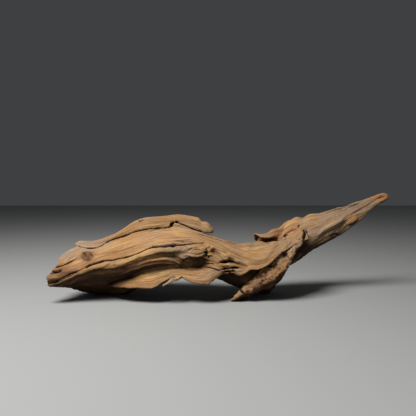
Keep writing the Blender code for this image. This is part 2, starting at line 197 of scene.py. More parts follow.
# The knot: a snout that points along the trunk to the right.
KNOT_CENTRE = (-24, -36, 78)
KNOT_ROOT = 34  # its length to the left, sunk in the trunk
KNOT_NOSE = 22  # its length to the right
KNOT_HALF_DEPTH = 14.5
KNOT_HALF_HEIGHT = 16
KNOT_LEAN = (-3, 4)  # how far the nose leans to the front and up

# The sliver that hangs split from the flap's edge: its middle line and its half thickness.
SLIVER_LINE = "-76,-52,29 -70,-53,32.5 -62,-53.5,37 -54,-53,42 -47,-51,43.5 -42,-49,46"
SLIVER_HALF = [0.9, 1.7, 1.9, 2.5, 3.6, 2.8]

# How many points the skin of each lobe has along it and around it.
POINTS = {
    "trunk": (240, 170), "plank": (150, 66), "flap": (130, 70), "horn": (180, 96), "ledge": (60, 56),
    "prop": (60, 56), "leg": (120, 70), "foot": (100, 80), "knot": (60, 72), "sliver": (40, 16),
}

# The views that marks are drawn in: the two axes of the drawing, the axis that it looks along, and the side.
VIEWS = {"front": (0, 2, 1, -1.0), "back": (0, 2, 1, 1.0), "top": (0, 1, 2, 1.0), "under": (0, 1, 2, -1.0)}

# What each kind of mark does: 1 to raise or -1 to cut, how square its sides are, how dark it is (stained, and
# painted shade in its groove), how split it looks (the painted shadow of a crack), and the share of its
# length that it runs out over at each end.
Kind = namedtuple("Kind", "side shape stain split taper")
KINDS = {
    "split": Kind(-1, 0.8, 0.9, 1.0, 0.25),
    "furrow": Kind(-1, 1.6, 0.5, 0.0, 0.25),
    "line": Kind(-1, 1.0, 0.45, 0.0, 0.35),
    "hollow": Kind(-1, 1.5, 0.75, 0.3, 0.5),
    "dent": Kind(-1, 2.0, 0.1, 0.0, 0.5),
    "rib": Kind(1, 1.6, 0.0, 0.0, 0.35),
}

# The marks of each view and kind: half a mark's width, how deep it cuts or how high it stands, and its line.
# The large marks, which shape the skin before its grain is laid on it.
LARGE_MARKS = {
    ("front", "furrow"): {
        "layer_step_b": (1.8, 1, "-256,57 -242,61 -231,64 -221,70 -214,76"),
        "under_layer": (4.2, 4.5, "-268,34 -251,38 -237,43 -226,48 -210,57"),
        "under_ridge": (5, 4, "-244,26 -226,34 -213,39 -200,44 -187,48 -171,51 -155,52 -138,55"),
        "ridge_jag_a": (2.6, 3, "-174,58 -177,51"),
        "ridge_jag_b": (2.6, 3, "-158,57 -161,50"),
        "ridge_jag_c": (2.6, 3, "-145,59 -147,52"),
        "belly_layer_a": (3, 2, "-246,29 -217,35 -184,42 -152,45"),
        "belly_layer_b": (3, 2.6, "-224,23 -186,28 -158,29"),
        "furrow_one": (2.6, 2, "-162,58 -143,63 -126,68 -110,75 -94,78 -70,80 -58,79 -48,74 -40,66"),
        "furrow_two": (2.4, 2, "-166,39 -145,47 -128,55 -112,60 -95,65 -71,68 -54,64 -38,57 -24,54"),
        "knot_under": (9, 7.5, "-40,72 -32,68 -22,66 -13,66 -6,68"),
        "shoulder_groove": (2.6, 1.6, "78,66 98,72 110,84 122,94 134,102 146,111 158,117"),
        "horn_shade": (4, 2, "186,90 198,96 209,104 222,111 237,118 248,127 256,134"),
        "horn_groove_a": (2.2, 2.2, "256,139 268,144 279,150 291,156 302,163 313,170 325,175"),
        "horn_groove_b": (2.2, 1.8, "262,139 276,146 290,152 304,160"),
        "horn_groove_c": (2.4, 1.6, "212,143 229,150 239,150 247,147"),
        "lip_jag_a": (2.6, 3, "24,46 27,51"),
        "lip_jag_b": (2.2, 2.6, "40,50 42,55"),
    },
    ("front", "line"): {
        "layer_step_a": (1.6, 1.8, "-260,58 -246,62 -236,66 -224,75 -214,80"),
    },
    ("front", "hollow"): {
        "end_band": (5, 4.5, "-270,34 -256,37 -246,40 -232,45"),
        "eye_pit_a": (2.2, 2.6, "-211,81 -207,78 -203,74"),
        "eye_pit_b": (2.8, 3.4, "-209,71 -201,70 -193,73"),
        "eye_pit_c": (1.8, 2.2, "-201,80 -196,77 -190,73"),
        "nub_pit": (2.8, 2.5, "-170,60 -165,62 -160,65"),
        "knot_throat": (1.6, 2.4, "0,87 -1,83 -3,79"),
        "hollow_one": (4.4, 6, "2,83 8,86 13,84 20,81"),
        "hollow_two": (5, 7, "18,67 28,69 38,69 50,65 64,60"),
        "ledge_hollow": (5.2, 10, "92,95 101,95.5 110,95.5 120,96.5 136,99"),
        "ledge_corner": (2, 4, "90,100 91,96 93,92"),
        "under_strip": (2.2, 2.6, "116,74 123,81 131,84 142,88"),
        "right_dark": (9, 9, "174,97 170,88 162,74 152,58 146,48"),
        "wall_pit": (3, 3, "126,81 130,78 134,72"),
        "horn_tip": (2.6, 2.8, "311,169 318,172 325,173"),
        "flap_notch": (3.6, 5, "-47,40 -42,41 -38,40"),
    },
    ("front", "dent"): {
        "eye_pit": (8.5, 4, "-211,74 -203,75 -193,75"),
        "knot_flat": (8, 1.5, "-32,88 -20,89 -8,87"),
        "valley_facet": (6, 2.2, "66,84 78,87 90,88"),
        "horn_dip_a": (5, 1.4, "198,143 207,144 215,147"),
        "horn_dip_b": (5, 1.4, "246,156 254,158 261,161"),
        "horn_dip_c": (4, 1.2, "286,169 293,172 300,175"),
        "flap_dip": (9, 2.2, "-70,50 -52,52 -36,50"),
    },
    ("front", "rib"): {
        "layer_a": (4, 1.5, "-258,67 -244,70 -232,75 -220,84"),
        "layer_b": (3, 1.5, "-258,59 -244,63 -232,67 -220,74"),
        "layer_c": (7, 3, "-266,43 -248,47 -230,55 -212,64"),
        "ridge_strip": (3.4, 2, "-256,30 -238,37 -226,43 -213,48 -200,54 -187,58 -171,61 -155,63 -139,67"),
        "eye_mound": (9, 1.6, "-214,71 -204,73 -194,75"),
        "nub": (3.4, 2.2, "-160,70 -155,68 -150,65"),
        "belly_layer_c": (3, 0.8, "-238,26 -205,31 -172,35 -146,36"),
        "rib_between": (3, 1.6, "-148,54 -128,60 -111,67 -95,71 -70,74 -56,72 -44,64 -30,58"),
        "knot_bridge": (6, 3, "-104,84 -76,89 -54,91 -36,92 -24,92"),
        "knot_edge": (3, 2.4, "-36,81 -29,79.5 -20,79 -10,79.5 -4,82"),
        "knot_tooth": (2.6, 2.4, "-3,76 3,79 8,79"),
        "knot_ear": (3, 2.2, "-6,89 -1,92 4,93"),
        "hollow_two_roof": (3.4, 2, "22,76 34,78 48,73 60,67"),
        "hollow_two_rim": (2.8, 2.4, "6,63 18,62 34,62 50,60 66,56"),
        "wall_rib": (3, 1.6, "-4,61 8,60 20,56"),
        "lower_rim": (2.2, 1.6, "22,49 34,50 48,53 62,55"),
        "shoulder_strip": (4.2, 2.2, "72,58 88,60 102,65 115,79 127,90 140,98 153,106 166,114"),
        "wall_bulge": (8, 3.6, "150,94 142,84 134,70 124,54 108,44"),
        "horn_crest": (3.4, 2.2, "184,100 198,105 207,113 222,121 237,128 247,136 256,144"),
        "horn_bump_a": (5, 1.6, "222,149 233,153 243,155"),
        "horn_bump_b": (5, 1.6, "262,161 272,165 281,167"),
        "horn_lump": (6, 3, "252,124 262,130 274,138"),
        "horn_low_rib": (3.4, 2, "196,84 214,94 232,106 244,114"),
    },
    ("back", "furrow"): {
        "furrow_a": (6, 4.5, "-224,62 -180,72 -134,90 -88,92 -40,88"),
        "furrow_b": (5, 4, "-196,42 -160,46 -124,62 -80,72 -30,68"),
        "furrow_c": (5, 3.5, "90,72 130,84 172,98 216,116 260,138"),
    },
    ("back", "hollow"): {
        "eye": (8, 7, "-106,72 -96,75 -86,75"),
        "hole": (5, 5, "66,70 72,72 78,72"),
    },
    ("back", "rib"): {
        "rib": (5, 2.5, "-214,52 -170,58 -126,76 -80,84 -30,80"),
        "eye_rim": (4, 2.5, "-114,84 -98,88 -80,86"),
    },
    ("top", "furrow"): {
        "furrow": (5, 2.5, "-10,16 20,20 52,22 78,26"),
    },
    ("under", "furrow"): {
        "furrow_a": (6, 4.5, "-216,26 -170,28 -120,26 -70,20"),
        "furrow_b": (5, 4, "-60,14 -20,12 20,18 60,22"),
    },
}

# The small marks, which cut through the grain.
SMALL_MARKS = {
    ("front", "split"): {
        "main_split": (1.3, 4, "-230,44 -215,52 -204,58 -194,63 -183,67 -174,70 -159,71 -143,74 -127,78 "
            "-111,84 -98,90 -86,93 -70,94 -54,96 -38,97 -21,98 -7,98"),
        "main_gape_a": (2.3, 6, "-202,60 -192,64 -183,67 -171,69"),
        "main_gape_b": (1.9, 7, "-108,86 -90,92 -74,94 -56,96 -34,97"),
        "main_gape_c": (1.6, 4.5, "-234,42 -222,48 -210,55 -198,61"),
        "step_split": (1.6, 4, "-262,34 -249,36 -237,41 -226,47 -216,52"),
        "plank_split": (0.9, 3, "-232,90 -213,87 -201,86 -187,88 -173,96 -161,101 -144,106 -126,113 "
            "-109,117 -92,119.5 -75,120"),
        "plank_split_low": (1, 3, "-98,119 -84,120 -70,120.5 -58,124"),
        "plank_split_right": (1.3, 3.5, "-54,129 -43,125 -23,117 -5,112 9,108"),
        "plank_hole_a": (2.4, 6, "-65,123 -62,127 -58,129"),
        "plank_hole_b": (2.2, 6, "-57,130 -51,129"),
        "plank_slot": (1.6, 3.5, "-121,132 -112,134"),
        "end_slit": (2, 8, "-272,50 -258,51 -247,52.5 -238,54"),
        "end_hole": (1.8, 4, "-245,54 -239,55"),
        "layer_line": (0.9, 1.6, "-262,56 -250,59 -240,61 -230,65 -220,71"),
        "knot_gap": (1.5, 4.5, "-6,85 -3,84 -1,82"),
        "knot_jag_a": (1.2, 3, "-7,77 -1,79 5,78"),
        "knot_jag_b": (1.2, 3, "-4,81 0,78 2,74"),
        "wall_crack_a": (0.8, 1.8, "-6,65 3,66 11,65"),
        "wall_crack_b": (0.9, 2, "-8,60 2,60 10,58 18,55 26,53"),
        "hollow_two_dark": (1.5, 3, "19,67 30,67 42,66 52,63"),
        "slot_a": (1.5, 4.5, "18,57 31,57 42,58 52,57"),
        "slot_b": (1.6, 4.5, "26,53 36,52 48,53"),
        "crease_hole": (1.3, 3, "136,102 142,106"),
        "strip_edge": (0.9, 2, "124,81.5 130,84 138,87"),
        "wall_dark": (1.6, 3, "126,81 129,78"),
        "end_a": (2.2, 7, "160,100 164,107 167,113 165,119"),
        "end_b": (1.7, 6, "169,120 171,112 173,103"),
        "end_c": (1.4, 4, "162,119 166,122"),
        "leg_notch": (1.8, 4, "52,20 56,18 60,14"),
        "horn_hole": (1.6, 3.5, "221,101 229,105 236,107"),
        "flap_slot": (1.5, 4, "-80,32 -69,37 -59,42 -53,45"),
    },
    ("front", "line"): {
        "nub_line": (1.3, 1.5, "-160,64 -153,63 -147,66"),
        "knot_ring_a": (1.5, 2.4, "-34,84 -27,91 -14,94 -6,90"),
        "knot_ring_b": (1.4, 2.2, "-28,83 -17,82 -7,84"),
        "knot_ring_c": (1.4, 2.2, "-27,87 -18,90 -10,88"),
        "sweep_a": (1.4, 1.8, "-70,76 -59,75 -47,69 -36,62 -26,58 -15,56"),
        "sweep_b": (1.3, 1.6, "-58,81 -49,78 -39,70 -29,62 -18,58"),
        "sweep_c": (1.3, 1.5, "-84,70 -66,68 -52,63 -39,59 -26,55"),
        "crease": (1.3, 2, "137,103 143,108 150,112 159,115 167,120 173,125"),
        "strip_line_a": (1.2, 1, "76,54 102,63 117,79 133,92 151,104 166,115"),
        "strip_line_b": (1.1, 0.9, "70,64 96,69 112,82 128,95 146,106"),
        "leg_line": (1.2, 1, "60,20 74,30 88,40"),
        "horn_line_a": (1.4, 1.4, "196,91 218,103 237,114 249,126"),
        "horn_line_b": (1.4, 1.6, "180,79 192,87 206,95 222,104"),
        "horn_line_c": (1.2, 1.2, "204,138 226,145 250,153 274,160 298,170"),
        "flap_line_a": (1.2, 1, "-136,32 -112,40 -88,46 -62,50"),
        "flap_line_b": (1.2, 1, "-96,36 -72,44 -48,49 -24,48 -4,46"),
        "brow_line_a": (1.3, 1.2, "-92,97 -65,100 -39,101 -5,99"),
        "brow_line_b": (1.3, 1.2, "-82,104 -48,106 -14,104 12,93"),
        "brow_line_c": (1.2, 0.9, "-184,78 -150,83 -118,93 -90,101"),
        "brow_line_d": (1.3, 1.1, "38,89 54,85 72,79"),
        "valley_line_b": (1.3, 1.4, "12,88 28,82 46,74 62,68"),
        "valley_line_c": (1.3, 1.4, "44,80 62,72 82,68 100,70"),
        "shoulder_line": (1.3, 1.4, "70,60 92,65 108,76 122,88 138,98"),
        "valley_line": (1.2, 0.9, "22,92 40,82 57,74 76,66"),
    },
    ("back", "split"): {
        "split_a": (1.7, 5, "-232,52 -196,62 -150,84 -104,100 -60,101"),
        "split_b": (1.4, 4, "-60,76 -20,74 20,76 58,84 92,100"),
        "split_c": (1.5, 4.5, "96,92 132,104 170,116 210,130 248,144"),
        "split_d": (1.3, 4, "-206,30 -170,34 -138,48 -104,62"),
    },
    ("back", "line"): {
        "line_a": (1.6, 1.8, "-226,70 -186,84 -140,102 -92,108"),
        "line_b": (1.6, 1.8, "112,66 150,82 192,100 236,118 280,142"),
        "line_c": (1.5, 1.6, "-84,62 -40,58 6,62 48,68"),
    },
    ("top", "split"): {
        "split_a": (1.3, 3.5, "-168,12 -128,16 -86,15 -44,18"),
        "split_b": (1.2, 3, "-20,-8 14,-4 50,2 80,6"),
    },
    ("top", "line"): {
        "line_a": (1.4, 1.4, "-210,22 -160,24 -110,26 -60,26"),
        "line_b": (1.4, 1.4, "160,48 206,52 252,54 300,57"),
    },
    ("under", "split"): {
        "split_a": (1.8, 5, "-210,18 -170,14 -130,16 -84,12"),
        "split_b": (1.6, 4.5, "-70,24 -30,22 10,26 44,30"),
        "split_c": (1.5, 4, "168,48 206,50 246,52 286,56"),
    },
    ("under", "line"): {
        "line_a": (1.8, 2, "-220,34 -176,40 -130,38 -92,30"),
    },
}

# The eyes, which the grain bends round: where each is, which way it faces, and its radius.
Eye = namedtuple("Eye", "place facing radius")
PIT = Eye((-204, -24, 74), (-0.2, -0.8, 0.5), 7)
EYES = (
    PIT,
    Eye((-22, -46, 76), (0, -1, 0.2), 17),  # the knot
    Eye((12, -37, 85), (0, -1, 0.3), 7),  # the upper hollow
    Eye((42, -35, 66), (0, -1, 0.3), 9),  # the lower hollow
    Eye((129, -30, 77), (0.4, -0.9, 0), 5),  # the pit in the wall
    Eye((-96, 62, 74), (0, 1, 0.1), 12),  # two at the back
    Eye((70, 40, 70), (0, 1, 0), 8),
)
EYE_DEPTH = 14.0  # how far in front of and behind an eye the grain still bends
EYE_REACH = 5  # how far round an eye it bends, in the eye's own radii
PIT_REACH = 10.0  # how far the crumbled wood round the pit reaches

# Patches of colour: where each is, how far it reaches each way, and how much it adds to which masks.
# Each patch of under and of stain is painted shade, and so are some of blush and rust.
PATCHES = (
    ((-212, 6, 92), (44, 30, 9), {"grey": 1, "gold": -0.6}),
    ((-238, -14, 74), (17, 22, 7), {"grey": 1, "gold": -0.6}),
    ((-238, -28, 65), (16, 16, 4), {"gold": 0.7}),
    # Reddish wood at the left end's lower nose, and painted shade for the shadow that it sits in.
    ((-242, -38, 52), (28, 24, 10), {"blush": 1}),
    # Painted shade on the end band under the left end.
    ((-248, -42, 40), (20, 16, 5), {"stain": 1.2}),
    ((-201, -24, 75), (11, 18, 7), {"blush": 1.4}),
    ((-180, -40, 56), (34, 16, 5), {"blush": 0.3}),
    ((264, 44, 133), (13, 14, 7), {"rust": 0.9, "grey": -0.6}),
    ((322, 50, 171), (20, 16, 10), {"rust": 0.8, "grey": -0.4}),
    ((160, 10, 110), (16, 16, 12), {"rust": 0.4}),
    ((-232, -34, 60), (26, 20, 9), {"rust": 0.6}),
    # Painted shade on the face between the wall and the horn, which turns away from the lamp.
    ((168, 18, 83), (14, 32, 13), {"under": 1.9}),
    ((155, 8, 66), (9, 32, 13), {"under": 1.7}),
    ((147, 4, 50), (9, 32, 12), {"under": 1.7}),
    ((-20, -48, 88), (18, 14, 8), {"gold": 0.5}),
    ((-60, -48, 46), (70, 18, 14), {"gold": 0.4}),
    ((136, 30, 118), (28, 22, 12), {"gold": -0.3, "rust": 0.35}),
    ((88, -38, 40), (44, 24, 28), {"blush": 0.55}),
    ((88, -38, 44), (50, 26, 34), {"grey": -0.4, "gold": 0.3}),
    # Painted shade behind the leg, under the trunk.
    ((44, -8, 40), (46, 17, 20), {"under": 1.6}),
    # Painted shade on the foot's face, right of the leg.
    ((136, -2, 54), (8, 20, 14), {"under": 1.4}),
    # Painted shade under the knot.
    ((-18, -46, 66), (17, 20, 9), {"under": 1.3}),
    # Painted shade on the end band.
    ((-250, -48, 38), (16, 18, 4), {"under": 1.2}),
    # Painted shade: the flap's left end, darker and redder in the trunk's shadow.
    ((-140, -40, 31), (26, 20, 7), {"blush": 0.45}),
    ((-140, -40, 31), (30, 20, 9), {"rust": 0.5}),
    ((150, 34, 124), (24, 26, 14), {"grey": -0.4}),
    ((-60, -22, 103), (50, 26, 12), {"rust": 0.3}),
    ((-12, -52, 44), (26, 18, 12), {"rust": 0.35, "gold": 0.4}),
    # Painted shade on the undersides of the belly and the trunk.
    ((-174, -38, 43), (42, 22, 8), {"under": 0.9}),
    ((-194, -10, 29), (56, 28, 14), {"under": 1.4}),
    ((-140, -8, 40), (36, 22, 13), {"under": 1.2}),
)

# How grey and how golden the wood is along X.
GREY_ALONG = {-260: 0.3, -225: 0.3, -190: 0.15, -60: 0.06, 0: 0.22, 60: 0.35, 110: 0.22, 180: 0.42, 230: 0.55,
              330: 0.45}
GOLD_ALONG = {-260: 0.3, -190: 0.45, -110: 0.8, -10: 0.85, 30: 0.5, 80: 0.4, 130: 0.5, 190: 0.25, 330: 0.1}

# The fibres: for each layer of them, the width of one and how far the noise is averaged along the grain.
FibreLayer = namedtuple("FibreLayer", "width reach")
FIBRE_LAYERS = {
    "fine": FibreLayer(2.3, 27),
    "cord": FibreLayer(5.0, 54),
    "band": FibreLayer(12.0, 75),
    "cleft": FibreLayer(9.0, 75),
    "tint": FibreLayer(4.0, 54),
    "patch": FibreLayer(18.0, 66),
}
FIBRE_STEP = 3.0  # how far it is along the grain from one value of the noise to the next
NOISE_TABLE = 64  # values along each side of a table of noise
LOBE_GAP = 1000.0  # how far apart the lobes' distances along the grain are kept

# The coarse grid that the grain's directions are kept on: its cell, its margin and how often it is blurred.
FIELD_CELL, FIELD_MARGIN, FIELD_BLUR = 3.0, 24.0, 5
SIGHT_CELL, SIGHT_DEPTH = 3.0, 12.0  # the cells of a view, and how far behind the front of one still shows

# How far each part of the grain raises the skin, in millimetres. Then how far from zero the noise of a furrow
# or a cleft is where it fades.
RISE = {"band": 0.6, "cord": 0.25, "furrow": -0.6, "fine": 0.2, "cleft": -1.3, "end": 1.6}
FURROW_EDGE, CLEFT_EDGE = 0.3, 0.075

# How crumbled each place is, and for both noises of it: the size of its lumps, its height and its cut-off.
CRUMBLED = {"broken": 2.0, "left_end": 0.7, "below": 0.45, "nose": 0.6, "pit": 1.6, "everywhere": 0.12}
CRUMBLE_NOISE = {"crumble": (6.0, 0.8, 0.5), "crumbs": (2.8, 0.65, 0.4)}

# Narrow and wide hollows: the cell they are found with, how often it is blurred, and how far the skin sinks
# where they begin and where they are full.
# Their darkening in the colour is painted shade in the hollows, with some dirt.
HOLLOWS = ((3.0, 1, 0.3, 1.6), (4.0, 5, 1.0, 6.0))

# The lines of the wood's finish: their width and their length in millimetres, and how detailed they are.
LINES = {"thin": (1.9, 30, 3), "broad": (4.5, 90, 3), "hair": (0.8, 12, 2), "mottle": (3.4, 8, 3)}
BUMP_STRENGTH, BUMP_HEIGHT = 0.8, 0.9 * MM
SHINE = 0.12  # the specular level of the wood
TINY = 1e-9  # keeps a division from failing

# What is added to the seed for each use of plain noise.
SEEDS = {"wander": 20, "rough": 21, "ends": 22, "crumble": 24, "crumbs": 25, "drift": 30, "spots": 31}

FLOOR_HALF = 4.0  # half the side of the floor, in metres
FLOOR_ROUGHNESS = 0.85
LAMP_TARGET = (0, 0, 0.07)  # what the lamp points at
SENSOR_WIDTH = 36.0
VIEW_HALF, VIEW_FOCUS = 208, 430  # half the picture's width and the camera's focal length, in pixels


def spline(points, count, closed):
    """Points on a smooth curve through the given ones: a Catmull-Rom spline along the first axis."""
    size = len(points)
    if closed:
        where = np.arange(count) * size / count
        first = np.floor(where).astype(int)
        picks = [(first + step) % size for step in (-1, 0, 1, 2)]
    else:
        where = np.linspace(0, size - 1, count)
        first = np.minimum(np.floor(where).astype(int), size - 2)
        picks = [np.clip(first + step, 0, size - 1) for step in (-1, 0, 1, 2)]
    part = (where - first).reshape((-1,) + (1,) * (points.ndim - 1))
    before, here, after, beyond = (points[pick] for pick in picks)
    bend = 2 * before - 5 * here + 4 * after - beyond
    twist = 3 * here - before - 3 * after + beyond
    return 0.5 * (2 * here + (after - before) * part + bend * part**2 + twist * part**3)


def ease(low, high, value):
    """0 below low, 1 above high, and an S-shaped curve between them."""
    share = np.clip((value - low) / (high - low), 0.0, 1.0)
    return share * share * (3.0 - 2.0 * share)


def band(low, rise, fall, high, value):
    """0 outside low and high, 1 between rise and fall, and S-shaped curves between them."""
    return ease(low, rise, value) * (1 - ease(fall, high, value))


def skin(rails, name):
    """A grid of points over a lobe's rails: stations along it by points around it, each ring closed."""
    along, around = POINTS[name]
    rings = spline(np.asarray(rails, dtype=float), around, closed=True)
    return spline(np.swapaxes(rings, 0, 1), along, closed=False)


def rails_at(stations, rails_yz, starts=None, ends=None):
    """Rails with x added: the stations, with the first four or last three moved to each rail's own end."""
    stations = np.asarray(stations, dtype=float)
    rails = []
    for index, rail in enumerate(rails_yz):
        x = stations.copy()
        if starts:
            x[:4] = np.interp(stations[:4], stations[[0, 3]], [starts[index], stations[3]])
        if ends:
            x[-3:] = np.interp(stations[-3:], stations[[-3, -1]], [stations[-3], ends[index]])
        rails.append(np.column_stack([x, rail]))
    return rails


def lobe_skin(name, stations, *rails):
    """The skin of a lobe from its stations and, for each rail, a list of depths and a list of heights."""
    return skin(rails_at(stations, [np.column_stack(rail) for rail in rails]), name)


def trunk():
    """The main body of the wood, from its broken left end to the tip of the shoulder."""
    return skin(rails_at(TRUNK_X, map(points_of, TRUNK_YZ.values()), starts=TRUNK_STARTS), "trunk")


def horn():
    """The long horn that rises to the right."""
    return skin(rails_at(HORN_X, map(points_of, HORN_YZ.values()), ends=HORN_ENDS), "horn")


def leg():
    """The plank that comes forward and down to its tip on the table."""
    return skin([points_of(rail) for rail in LEG_XYZ.values()], "leg")


def plank():
    """The strip along the crest, split from the trunk by a long crack and free at its right end."""
    top, low, front, back = PLANK.top, PLANK.low, PLANK.front, PLANK.back
    sunk = PLANK_SUNK * (1 - PLANK.free)
    return lobe_skin(
        "plank", PLANK.x,
        (front + 0.5, low + 1.5 - sunk),
        (front + 0.5, 0.35 * top + 0.65 * low),
        (front + 3, 0.75 * top + 0.25 * low),
        (front + 6, top - 1),
        (front + 12, top),
        (back - 7, top - 1),
        (back - 1, top - 6),
        (back, 0.5 * top + 0.5 * low - 2),
        (back - 4, low - sunk),
        ((front + back) / 2, low + 0.5 - sunk),
        (front + 5, low - sunk),
    )


def flap():
    """The thin lit skirt under the front of the trunk."""
    root_y, root_z, edge_y, edge_z = FLAP.root_y, FLAP.root_z, FLAP.edge_y, FLAP.edge_z
    middle_z = (root_z + edge_z) / 2
    return lobe_skin(
        "flap", FLAP.x,
        (root_y, root_z),
        ((root_y + edge_y) / 2 - 3, middle_z + 1),
        (edge_y, edge_z + FLAP_LIP / 2),
        (edge_y + FLAP_LIP, edge_z),
        (edge_y + 3 * FLAP_LIP, middle_z),
        (root_y + 14, root_z - 2),
        (root_y + 10, root_z + 8),
    )


def ledge():
    """The thin ledge at the horn's root, drawn out to a spike that overhangs the trunk."""
    top, thick, front, back = LEDGE.top, LEDGE.thick, LEDGE.front, LEDGE.back
    middle = (front + back) / 2
    return lobe_skin(
        "ledge", LEDGE.x,
        (front, top - 0.8 * thick),
        (front + 1.5, top - 0.35 * thick),
        (front + 4, top),
        (middle, top - 1),
        (back, top - 8),
        (back + 1, top - thick - 9),
        (middle, top - thick),
        (front + 4, top - thick),
    )


def prop():
    """The wall under the ledge, which leans back a little as it rises."""
    top, front, back = PROP.top, PROP.front, PROP.back
    low = np.full(len(top), PROP_LOW, float)
    return lobe_skin(
        "prop", PROP.x,
        (front + 3, top),
        (front, 0.6 * top + 0.4 * low),
        (front - 9, low),
        (back, low),
        (back, 0.5 * top + 0.5 * low),
        (back - 4, top),
    )


def foot():
    """The web behind the leg and the hind foot under it."""
    low, top, front, back = FOOT.low, FOOT.top, FOOT.front, FOOT.back
    middle = (front + back) / 2
    return lobe_skin(
        "foot", FOOT.x,
        (middle - 4, top),
        (front, 0.35 * low + 0.65 * top),
        (front + 4, 0.75 * low + 0.25 * top),
        (middle + 10, low),
        (back - 6, 0.75 * low + 0.25 * top + 2),
        (back, 0.35 * low + 0.65 * top),
    )


def knot():
    """The knot: an egg with its axis along X, whose section swells and shrinks as a power of a sine."""
    along, around = POINTS["knot"]
    turn = np.linspace(0, np.pi, along)[:, None]
    ring = np.linspace(0, 2 * np.pi, around, endpoint=False)[None, :]
    axis = -np.cos(turn)
    swell = np.sin(turn) ** 0.8
    lean = 1 + axis
    x = KNOT_CENTRE[0] + np.where(axis < 0, KNOT_ROOT, KNOT_NOSE) * axis + 0 * ring
    y = KNOT_CENTRE[1] + KNOT_LEAN[0] * lean / 2 - KNOT_HALF_DEPTH * swell * np.cos(ring)
    z = KNOT_CENTRE[2] + KNOT_LEAN[1] * lean + KNOT_HALF_HEIGHT * swell * np.sin(ring) * (1 - lean / 8)
    return np.stack([x, y, z], axis=-1)


def sliver():
    """The thin sliver under the flap's edge: a round rod whose half thickness follows its own list."""
    along, around = POINTS["sliver"]
    x, y, z = spline(points_of(SLIVER_LINE), along, closed=False).T[:, :, None]
    half = spline(np.array(SLIVER_HALF), along, closed=False)[:, None]
    ring = np.linspace(0, 2 * np.pi, around, endpoint=False)[None, :]
    return np.stack([x + 0 * ring, y + half * np.cos(ring), z + half * np.sin(ring)], axis=-1)


LOBES = (trunk, plank, flap, horn, ledge, leg, foot, knot, sliver, prop)


def grid_faces(rings, around, first):
    """The corners of the quads between neighbouring rings, and of the triangles of a fan over each end."""
    here = first + np.arange(rings * around).reshape(rings, around)
    beside = np.roll(here, -1, axis=1)
    quads = np.stack([here[:-1], beside[:-1], beside[1:], here[1:]], axis=-1).reshape(-1, 4)
    hubs = first + rings * around + np.arange(2)
    start = np.stack([np.full(around, hubs[0]), beside[0], here[0]], axis=-1)
    end = np.stack([np.full(around, hubs[1]), here[-1], beside[-1]], axis=-1)
    return quads.tolist() + start.tolist() + end.tolist()


def grain_coordinates(grid, index):
    """For each point of a lobe: how far along its grain it is, and its place across, in millimetres.

    The place across is a point on a circle that is as long as the lobe is round, so that it has no seam.
    """
    steps = np.linalg.norm(np.diff(grid.mean(axis=1), axis=0), axis=1)
    along = LOBE_GAP * index + np.concatenate([[0.0], np.cumsum(steps)])
    girth = np.linalg.norm(np.roll(grid, -1, axis=1) - grid, axis=-1).sum(axis=1).max()
    turn = np.linspace(0, 2 * np.pi, grid.shape[1], endpoint=False)
    radius = girth / (2 * np.pi)
    across = (np.stack([np.cos(turn), np.sin(turn)], axis=-1) * radius)[None]
    return np.concatenate([np.broadcast_to(along[:, None, None], grid.shape[:2] + (1,)),
                           np.broadcast_to(across, grid.shape[:2] + (2,))], axis=-1)


def lobes_mesh(grids):
    """All the lobes in one mesh, each closed, still overlapping, with their grain coordinates."""
    points, grain, faces, first = [], [], [], 0
    for index, grid in enumerate(grids):
        rings, around = grid.shape[:2]
        for values, into in ((grid, points), (grain_coordinates(grid, index), grain)):
            into += [values.reshape(-1, 3), values[[0, -1]].mean(axis=1)]
        faces += grid_faces(rings, around, first)
        first += rings * around + 2
    mesh = bpy.data.meshes.new("lobes")
    mesh.from_pydata(np.concatenate(points).tolist(), [], faces)
    store(mesh, "grain", np.concatenate(grain))
    return mesh


def store(mesh, name, values):
    """Puts values, one number or one vector per vertex, into a named attribute of a mesh."""
    kind, key = ("FLOAT", "value") if values.ndim == 1 else ("FLOAT_VECTOR", "vector")
    attribute = mesh.attributes.new(name, kind, "POINT")
    attribute.data.foreach_set(key, np.ascontiguousarray(values, dtype=np.float32).ravel())


def read(items, key):
    """The vectors under one key of a collection, one row each."""
    values = np.empty(len(items) * 3, dtype=np.float32)
    items.foreach_get(key, values)
    return values.reshape(-1, 3).astype(float)


def read_edges(mesh):
    """The two vertices of each edge of a mesh."""
    values = np.empty(len(mesh.edges) * 2, dtype=np.int32)
    mesh.edges.foreach_get("vertices", values)
    return values.reshape(-1, 2)


def move(mesh, points):
    """Moves the vertices of a mesh to new places."""
    mesh.vertices.foreach_set("co", points.astype(np.float32).ravel())
    mesh.update()


def made_object(name, data):
    """A new object with that mesh, lamp or camera, in the scene."""
    obj = bpy.data.objects.new(name, data)
    bpy.context.scene.collection.objects.link(obj)
    return obj


def applied(obj):
    """The mesh of an object with its modifiers applied. The object is removed."""
    bpy.context.view_layer.update()
    graph = bpy.context.evaluated_depsgraph_get()
    mesh = bpy.data.meshes.new_from_object(obj.evaluated_get(graph))
    bpy.data.objects.remove(obj)
    return mesh


